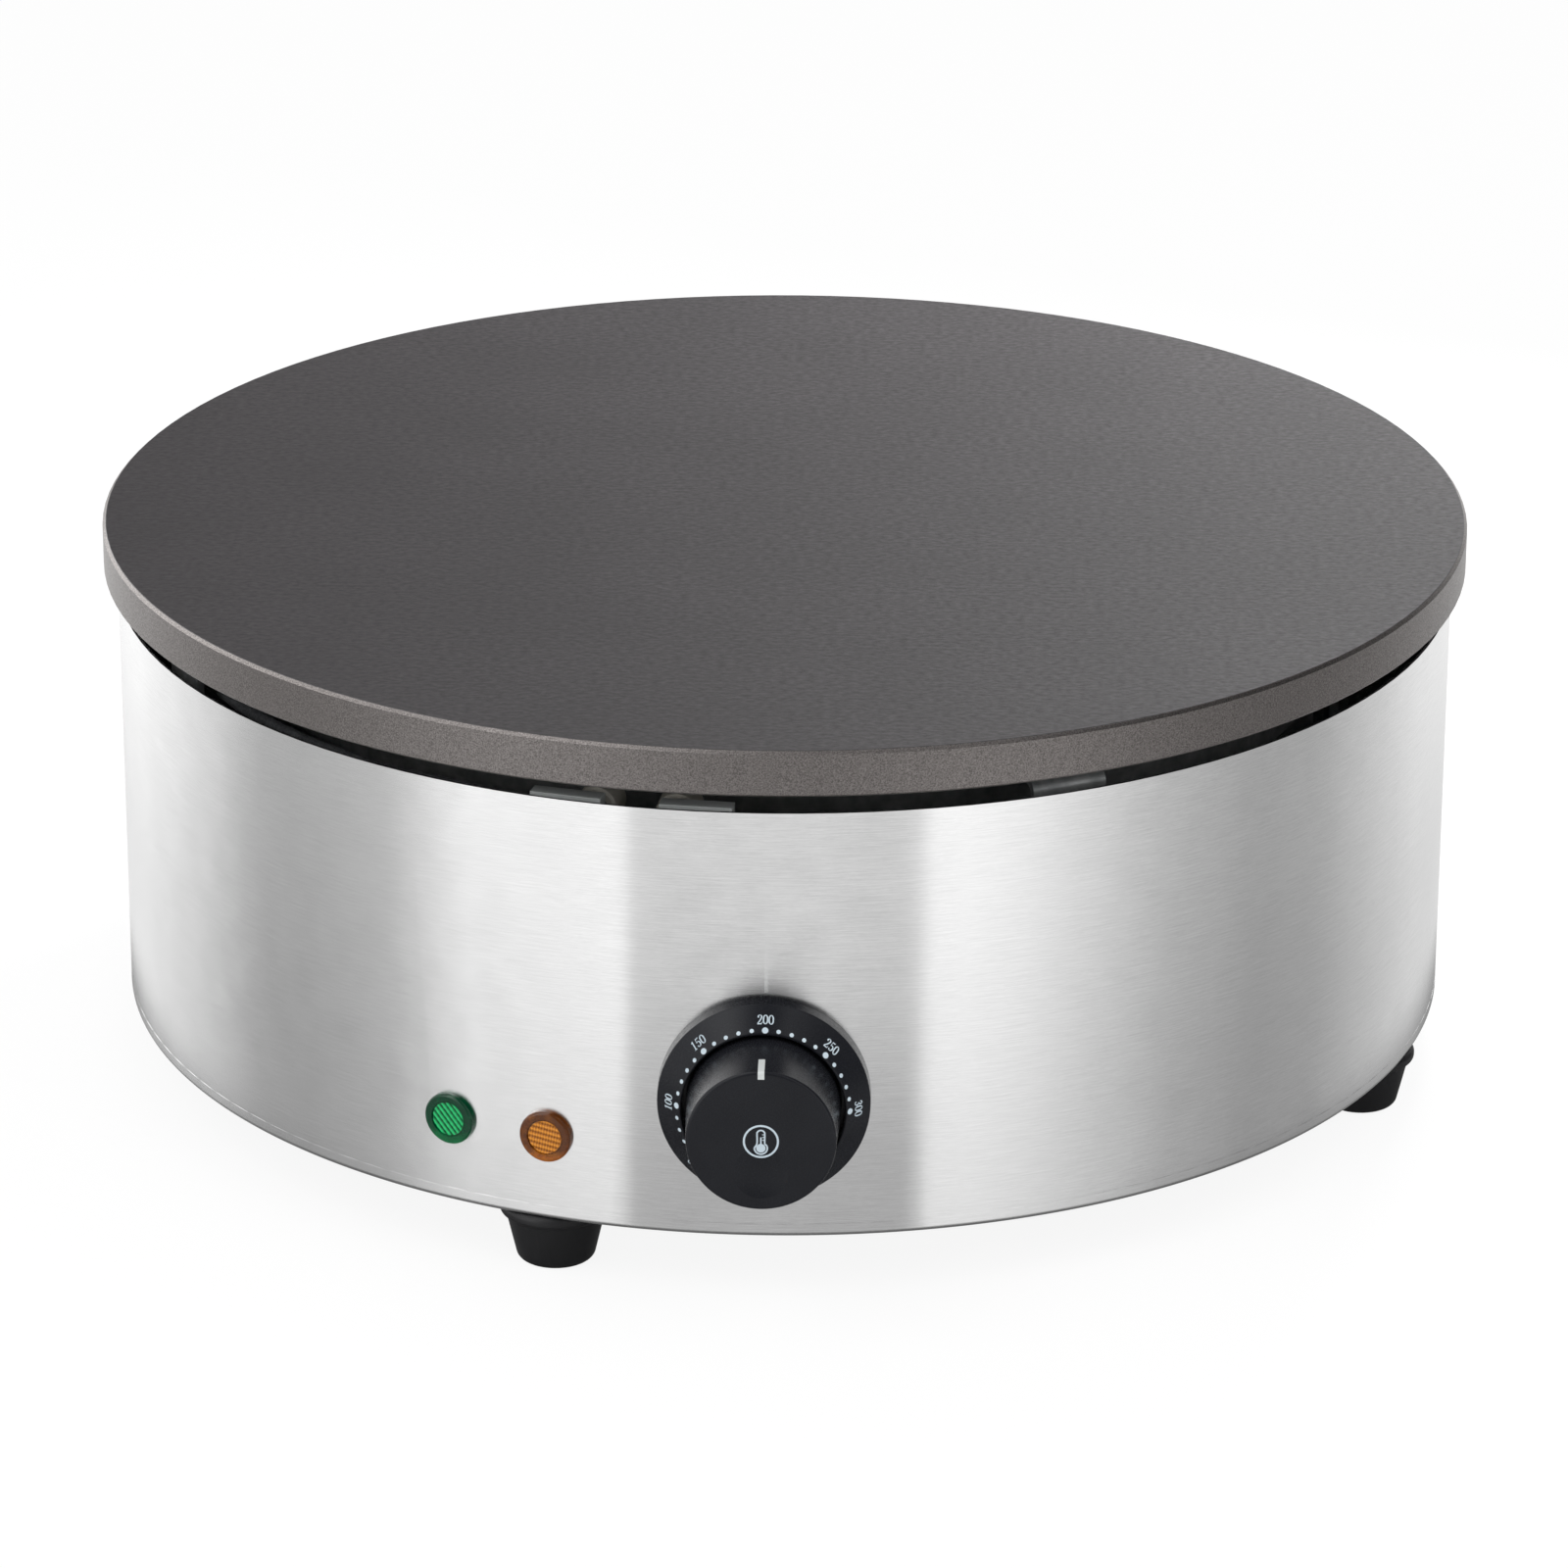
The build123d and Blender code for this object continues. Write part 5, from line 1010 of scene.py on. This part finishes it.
@dataclass
class Dial:
    """Printing on the bezel, and the mark on the knob's face."""

    # The bezel's cone leaves the shell by this much at its edge, and rises by this share of the way in.
    side: float = 4.0
    slope: float = 0.942
    dot_radius: float = 23.65
    numeral_radius: float = 25.95
    numeral_height: float = 2.75
    numeral_width: float = 4.7
    first_degree: int = 50
    last_degree: int = 300
    top_degree: int = 200
    twist: float = 1.2
    small_step: int = 10
    large_step: int = 50
    turn_per_degree: float = 80.0 / 90.0
    small_dot: float = 0.6
    large_dot: float = 0.88
    ink: float = 0.05
    sunk: float = 0.03
    paint: Finish = Moulding(tone(196, 210, 218), tone(182, 196, 206), roughness=0.5, tooth=0.3,
                             tooth_depth=0.01)
    glyphs: Glyphs = Glyphs()
    mark: Thermometer = Thermometer()

    def build(self) -> None:
        """Print the scale and the knob's mark."""
        ink = self.paint.material("dial_ink")
        self.dots().settle("dial_dots", ink, Body.HOUSING, Slot.WHITE_PLASTIC)
        self.numerals().settle("dial_numerals", ink, Body.HOUSING, Slot.WHITE_PLASTIC)
        self.knob_mark().settle("knob_mark", ink, Body.KNOB, Slot.WHITE_PLASTIC)

    def on_cone(self, degree: int, radius: float) -> Placer:
        """Placer for marks on the bezel's cone.

        Args:
            degree: The temperature that the mark stands at.
            radius: Distance of its middle from the dial's axis.

        Returns:
            A function that lays x round the cone, y up its slope, and lift along its normal.
        """
        tilt = math.atan(self.slope)
        clock = math.radians((degree - self.top_degree) * self.turn_per_degree + self.twist)
        mark_reach = SHELL_RADIUS + self.side + (BEZEL_RADIUS - radius) * self.slope

        def put(x: float, y: float, lift: float) -> Vector:
            """Place one point of the mark."""
            out = radius + y * math.cos(tilt) + lift * math.sin(tilt)
            reach = mark_reach + lift * math.cos(tilt) - y * math.sin(tilt)
            turn = clock + x / out
            return Vector((out * math.sin(turn), -reach, DIAL_HEIGHT + out * math.cos(turn)))

        return put

    def on_knob(self, x: float, y: float, lift: float) -> Vector:
        """Lay a point of a mark on the knob's face."""
        return Vector((x, -KNOB_FACE - lift, DIAL_HEIGHT + y))

    def print_on(self, slabs: Slabs, shapes: Sequence[Outline], put: Placer) -> None:
        """Add one printed mark to a piece, partly sunk in what it is printed on."""
        slabs.add(shapes, lambda x, y: put(x, y, self.ink), lambda x, y: put(x, y, -self.sunk))

    def dots(self) -> Slabs:
        """Round marks: small ones every ten degrees, and large ones every fifty.

        Returns:
            The dots of the whole scale.
        """
        slabs = Slabs()
        for degree in range(self.first_degree, self.last_degree + 1, self.small_step):
            size = self.small_dot if degree % self.large_step else self.large_dot
            self.print_on(slabs, [disc(0, 0, size)], self.on_cone(degree, self.dot_radius))
        return slabs

    def numerals(self) -> Slabs:
        """Numerals outside the large dots, with their feet towards the dial's middle.

        Returns:
            The numerals of the whole scale.
        """
        slabs = Slabs()
        for degree in range(self.first_degree, self.last_degree + 1, self.large_step):
            words = str(degree)
            width = self.numeral_width * len(words) / len(str(self.last_degree))
            shapes = self.glyphs.text(words, self.numeral_height, width)
            self.print_on(slabs, shapes, self.on_cone(degree, self.numeral_radius))
        return slabs

    def knob_mark(self) -> Slabs:
        """The mark on the knob's face.

        Returns:
            Its one slab.
        """
        slabs = Slabs()
        self.print_on(slabs, self.mark.shapes(), self.on_knob)
        return slabs


# ---------------------------------------------------------------- pilot lamps


@dataclass
class PilotLamp:
    """Ribbed diffuser in the lens's sunk window: crossed ridges with straight creases."""

    name: str
    azimuth: float
    slot: Slot
    # Colours of the painted highlight on the ridge crests and the painted shade in the troughs.
    crest: Colour
    trough: Colour
    across: float
    along: float
    slant: float
    cross_share: float
    window_reach: float = SHELL_RADIUS + 1.4
    radius: float = 4.85
    sides: int = 72
    edge_margin: float = 0.12
    ridge: float = 0.34
    base: float = 0.08
    sunk: float = 0.02

    def build(self) -> None:
        """Make the diffuser from a disc with a point at every crease."""
        turn = math.radians(self.slant)
        reach = math.ceil(2 * self.radius / min(self.across, self.along)) + 1
        creases = []
        for row in range(-reach, reach + 1):
            for column in range(-reach, reach + 1):
                over, up = column * self.along / 2, row * self.across / 2
                x = over * math.cos(turn) - up * math.sin(turn)
                y = over * math.sin(turn) + up * math.cos(turn)
                if math.hypot(x, y) < self.radius - self.edge_margin:
                    creases.append((x, y))
        slabs = Slabs()
        slabs.add([disc(0, 0, self.radius, self.sides)], self.put_top, self.put_under, creases)
        lowest = self.window_reach + self.base
        finish = Ribbed(self.crest, self.trough, self.azimuth, lowest, lowest + self.ridge)
        slabs.settle(self.name, finish.material(self.name), Body.HOUSING, self.slot)

    def rise(self, x: float, y: float) -> float:
        """Height of the ridges at a point.

        Args:
            x: Place to the right of the lamp's middle.
            y: Place above it.

        Returns:
            The height from 0 to 1.
        """
        turn = math.radians(self.slant)
        over = (x * math.cos(turn) + y * math.sin(turn)) / self.along
        up = (y * math.cos(turn) - x * math.sin(turn)) / self.across
        tooth, row = abs(over % 1 - 0.5) * 2, abs(up % 1 - 0.5) * 2
        return self.cross_share * tooth + (1 - self.cross_share) * row

    def put_top(self, x: float, y: float) -> Vector:
        """Place a point of the ribbed side."""
        return self.put(x, y, self.base + self.ridge * self.rise(x, y))

    def put_under(self, x: float, y: float) -> Vector:
        """Place a point of the side that lies on the window."""
        return self.put(x, y, -self.sunk)

    def put(self, x: float, y: float, lift: float) -> Vector:
        """Place a point that stands out from the window along the lamp's axis."""
        out, side = around(self.azimuth)
        return out * (self.window_reach + lift) + side * x + Vector((0, 0, LAMP_HEIGHT + y))


PILOT_LAMPS = (
    PilotLamp("green_diffuser", -26.5, Slot.GREEN_LENS, crest=tone(44, 196, 116), trough=tone(0, 50, 28),
              across=1.45, along=1.6, slant=-48.0, cross_share=0.15),
    PilotLamp("amber_diffuser", -17.9, Slot.AMBER_LENS, crest=tone(224, 146, 52), trough=tone(116, 62, 12),
              across=1.55, along=0.8, slant=-8.0, cross_share=0.35),
)


# ---------------------------------------------------------------- shell


@dataclass
class LowerBend:
    """Thin skin of steel that keeps the bend under the shell's wall smooth and round."""

    bend: float = 1.6
    run_out: float = 2.4
    straight: float = 0.1
    skin: float = 0.02
    depth: float = 0.4
    arc_steps: int = 9
    turn_steps: int = 720
    crease: float = 50.0

    def build(self, steel: bpy.types.Material) -> None:
        """Turn the skin's section round the shell's axis.

        Args:
            steel: The finish of the shell's wall.
        """
        slabs = Slabs()
        slabs.turn(self.section(), self.turn_steps)
        piece = slabs.settle("lower_bend", steel, Body.HOUSING, Slot.STAINLESS)
        piece.data.shade_smooth()
        piece.data.set_sharp_from_angle(angle=math.radians(self.crease))

    def section(self) -> Outline:
        """Outline of the skin: down the wall and round the bend, and back inside the sheet.

        Returns:
            Its corners, as distance from the axis and height.
        """
        reach, level = SHELL_RADIUS - self.bend, SHELL_BOTTOM + self.bend
        turns = [math.radians(-90 * step / self.arc_steps) for step in range(self.arc_steps + 1)]
        outer, inner = self.bend + self.skin, self.bend - self.depth
        return [
            (SHELL_RADIUS, level + self.run_out),
            (SHELL_RADIUS + self.skin, level + self.straight),
            *((reach + outer * math.cos(turn), level + outer * math.sin(turn)) for turn in turns[:-1]),
            (reach - self.skin, SHELL_BOTTOM),
            *((reach + inner * math.cos(turn), level + inner * math.sin(turn)) for turn in reversed(turns)),
            (SHELL_RADIUS - self.depth, level + self.run_out),
        ]


# ---------------------------------------------------------------- studio


@dataclass(frozen=True)
class SoftLamp:
    """A square lamp, which lights matt surfaces and shows in none."""

    name: str
    spot: Place
    aim: Place
    size: float
    power: float

    def build(self) -> None:
        """Hang the lamp and point it."""
        data = bpy.data.lights.new(self.name, "AREA")
        data.size = self.size * MM
        data.energy = self.power
        lamp = bpy.data.objects.new(self.name, data)
        lamp.location = Vector(self.spot) * MM
        look = Vector(self.aim) - Vector(self.spot)
        lamp.rotation_euler = look.to_track_quat("-Z", "Y").to_euler()
        lamp.visible_camera = False
        lamp.visible_glossy = False
        bpy.context.scene.collection.objects.link(lamp)


@dataclass
class Studio:
    """Camera, lamps, world and floor."""

    aim: Place = (0.0, 0.0, 74.2)
    distance: float = 2070.85
    azimuth: float = 1.5
    elevation: float = 21.814
    roll: float = 0.193
    lens: float = 159.0
    sensor: float = 36.0
    clip_metres: float = 50.0

    lamps: tuple[SoftLamp, ...] = (
        SoftLamp("key_lamp", (-900, -700, 1300), (0, 0, 0), size=1100, power=9.0),
        SoftLamp("fill_lamp", (1000, -500, 1100), (0, 0, 0), size=1200, power=7.0),
        SoftLamp("back_lamp", (220, 420, 400), (60, 60, 163), size=220, power=4.4),
    )

    # Rings of light that only reflections show, low and high, as (azimuth, level) pairs.
    panels: Panels = (
        (-180, 0.95), (-146, 1.08), (-128, 0.90), (-104, 0.48), (-90, 0.43), (-80, 0.46),
        (-69, 0.52), (-59, 0.68), (-49, 0.84), (-40, 1.0), (-33, 1.1), (-25.5, 1.22), (-24.7, 0.88),
        (0, 0.94), (25.0, 0.86), (25.8, 1.2), (34, 1.08), (43, 1.02), (52, 0.89), (62, 0.77),
        (72, 0.61), (90, 0.46), (106, 0.50), (124, 0.74), (142, 0.94), (180, 0.95),
    )
    upper_panels: Panels = (
        (-180, 0.5), (-174, 0.05), (-158, 0.05), (-150, 2.6), (-106, 2.4), (-94, 0.9), (-68, 1.2),
        (-52, 3.4), (-38, 1.6), (-18, 0.1), (0, 0.0), (20, 0.0), (32, 1.6), (46, 0.9), (62, 0.0),
        (95, 0.0), (118, 0.0), (138, 0.2), (152, 1.0), (172, 1.8), (180, 0.5),
    )
    # Upward part of a ray's direction at which one ring gives way to the next.
    band_low: float = -0.3
    band_high: float = -0.05
    steep_low: float = -0.8
    steep_high: float = -0.56
    steep_level: float = 0.55
    even_light: float = 0.75

    floor_size: float = 6000.0
    floor_colour: float = 0.95
    floor_glow: float = 0.9

    # Painted shadow that only reflections see: share of a reflection that the floor takes away, by distance from
    # the shell.
    dark_near: float = 100.0
    dark_far: float = 270.0
    dark_all_round: float = 0.19
    dark_in_front: float = 0.22
    dark_at_foot: float = 0.75
    foot_near: float = 12.0
    foot_far: float = 42.0
    front_half_width: float = 43.0
    front_spread: float = 0.45
    front_blur: float = 6.0
    front_starts: float = -100.0
    front_full: float = -150.0

    def build(self) -> None:
        """Set up everything that isn't part of the object."""
        bpy.context.scene.view_settings.view_transform = "Standard"
        self.camera()
        self.world()
        self.floor()
        for lamp in self.lamps:
            lamp.build()

    def camera(self) -> None:
        """Stand the camera in front, a little above the plate."""
        data = bpy.data.cameras.new("camera")
        data.lens = self.lens
        data.sensor_width = self.sensor
        data.clip_end = self.clip_metres
        camera = bpy.data.objects.new("camera", data)
        rise = math.radians(self.elevation)
        out, _ = around(self.azimuth)
        back = out * math.cos(rise) + Vector((0, 0, math.sin(rise)))
        camera.location = (Vector(self.aim) + back * self.distance) * MM
        look = (-back).to_track_quat("-Z", "Y").to_matrix()
        camera.rotation_euler = (look @ Matrix.Rotation(math.radians(self.roll), 3, "Z")).to_euler()
        bpy.context.scene.collection.objects.link(camera)
        bpy.context.scene.camera = camera

    def world(self) -> None:
        """White behind the object, panels round it in its reflections, and even light."""
        world = bpy.data.worlds.new("studio")
        bpy.context.scene.world = world
        tree = Tree(world)
        x, y, z = tree.axes(tree.add("ShaderNodeTexCoord")["Generated"])
        turn = tree.maths("ARCTAN2", x, 0 - y) / (2 * math.pi) + 0.5
        low, high = (self.ring(tree, turn, panels) for panels in (self.panels, self.upper_panels))
        panels = tree.blend(tree.span(z, self.band_low, self.band_high, 0.0, 1.0), low, high)
        steep = tree.span(z, self.steep_low, self.steep_high, 0.0, 1.0)
        panels = tree.blend(steep, grey(self.steep_level), panels)
        mirrored, seen = self.rays(tree)
        lit = tree.blend(mirrored, grey(self.even_light), panels)
        inputs = {"Color": tree.blend(seen, lit, WHITE), "Strength": 1.0}
        background = tree.add("ShaderNodeBackground", inputs=inputs)["Background"]
        tree.add("ShaderNodeOutputWorld", inputs={"Surface": background})

    @staticmethod
    def rays(tree: Tree) -> tuple[Signal, Signal]:
        """Tell rays apart.

        Args:
            tree: The tree that asks.

        Returns:
            1 for a reflected ray, and 1 for one that comes from the camera or through glass.
        """
        path = tree.add("ShaderNodeLightPath")
        seen = tree.maths("MAXIMUM", path["Is Camera Ray"], path["Is Transmission Ray"])
        return path["Is Glossy Ray"], seen

    @staticmethod
    def ring(tree: Tree, turn: Signal, panels: Panels) -> Signal:
        """Light that comes from a ring of panels, by their azimuths and levels."""
        stops = [(angle / 360 + 0.5, grey(level)) for angle, level in panels]
        return tree.add("ShaderNodeValToRGB", {"stops": stops}, {"Fac": turn})["Color"]

    def floor(self) -> None:
        """A white floor that keeps the object's shadow, with a painted shadow near the shell that only reflections
        see.
        """
        half = self.floor_size / 2 * MM
        mesh = bpy.data.meshes.new("floor")
        mesh.from_pydata([(-half, -half, 0), (half, -half, 0), (half, half, 0), (-half, half, 0)],
                         [], [(0, 1, 2, 3)])
        floor = bpy.data.objects.new("floor", mesh)
        bpy.context.scene.collection.objects.link(floor)
        material = bpy.data.materials.new("floor")
        tree = Tree(material)
        reflected, seen = self.rays(tree)
        pale = tree.add("ShaderNodeBsdfDiffuse", inputs={"Color": grey(self.floor_colour)})["BSDF"]
        glow = tree.add("ShaderNodeEmission", inputs={"Color": WHITE, "Strength": 1.0})["Emission"]
        clear = tree.add("ShaderNodeBsdfTransparent")["BSDF"]
        dark = tree.add("ShaderNodeEmission", inputs={"Color": BLACK})["Emission"]
        plain = tree.either(seen * self.floor_glow, pale, glow)
        # Painted shadow: a black sheet that only reflections see, standing in for the shade on the floor near the
        # shell.
        mirrored = tree.either(self.darkness(tree), clear, dark)
        tree.add("ShaderNodeOutputMaterial", inputs={"Surface": tree.either(reflected, plain, mirrored)})
        mesh.materials.append(material)

    def darkness(self, tree: Tree) -> Signal:
        """Share of the reflections that the floor takes away near the shell, as a painted shadow.

        Args:
            tree: The floor's tree.

        Returns:
            The share from 0 to 1.
        """
        x, y, _ = tree.axes(tree.place())
        distance = tree.from_axis(x, y) - SHELL_RADIUS
        near = tree.span(distance, self.dark_near, self.dark_far, 1.0, 0.0)
        ahead = 0 - y - SHELL_RADIUS
        side = tree.maths("ABSOLUTE", x) - ahead * self.front_spread - self.front_half_width
        front = tree.span(side, -self.front_blur, self.front_blur, 1.0, 0.0)
        front = front * tree.span(y, self.front_full, self.front_starts, 1.0, 0.0)
        wide = near * (front * self.dark_in_front + self.dark_all_round)
        foot = tree.span(distance, self.foot_near, self.foot_far, self.dark_at_foot, 0.0)
        return tree.maths("MAXIMUM", wide, foot)


def main() -> None:
    """Build the studio, dress the CAD nodes and add the skin, the printing and the ribbed pieces."""
    logging.basicConfig(level=logging.INFO, format="%(name)s: %(message)s")
    Studio().build()
    workshop = Workshop()
    workshop.dress_nodes()
    LowerBend().build(workshop.material(Slot.STAINLESS))
    Dial().build()
    for lamp in PILOT_LAMPS:
        lamp.build()


if __name__ == "__main__":
    main()
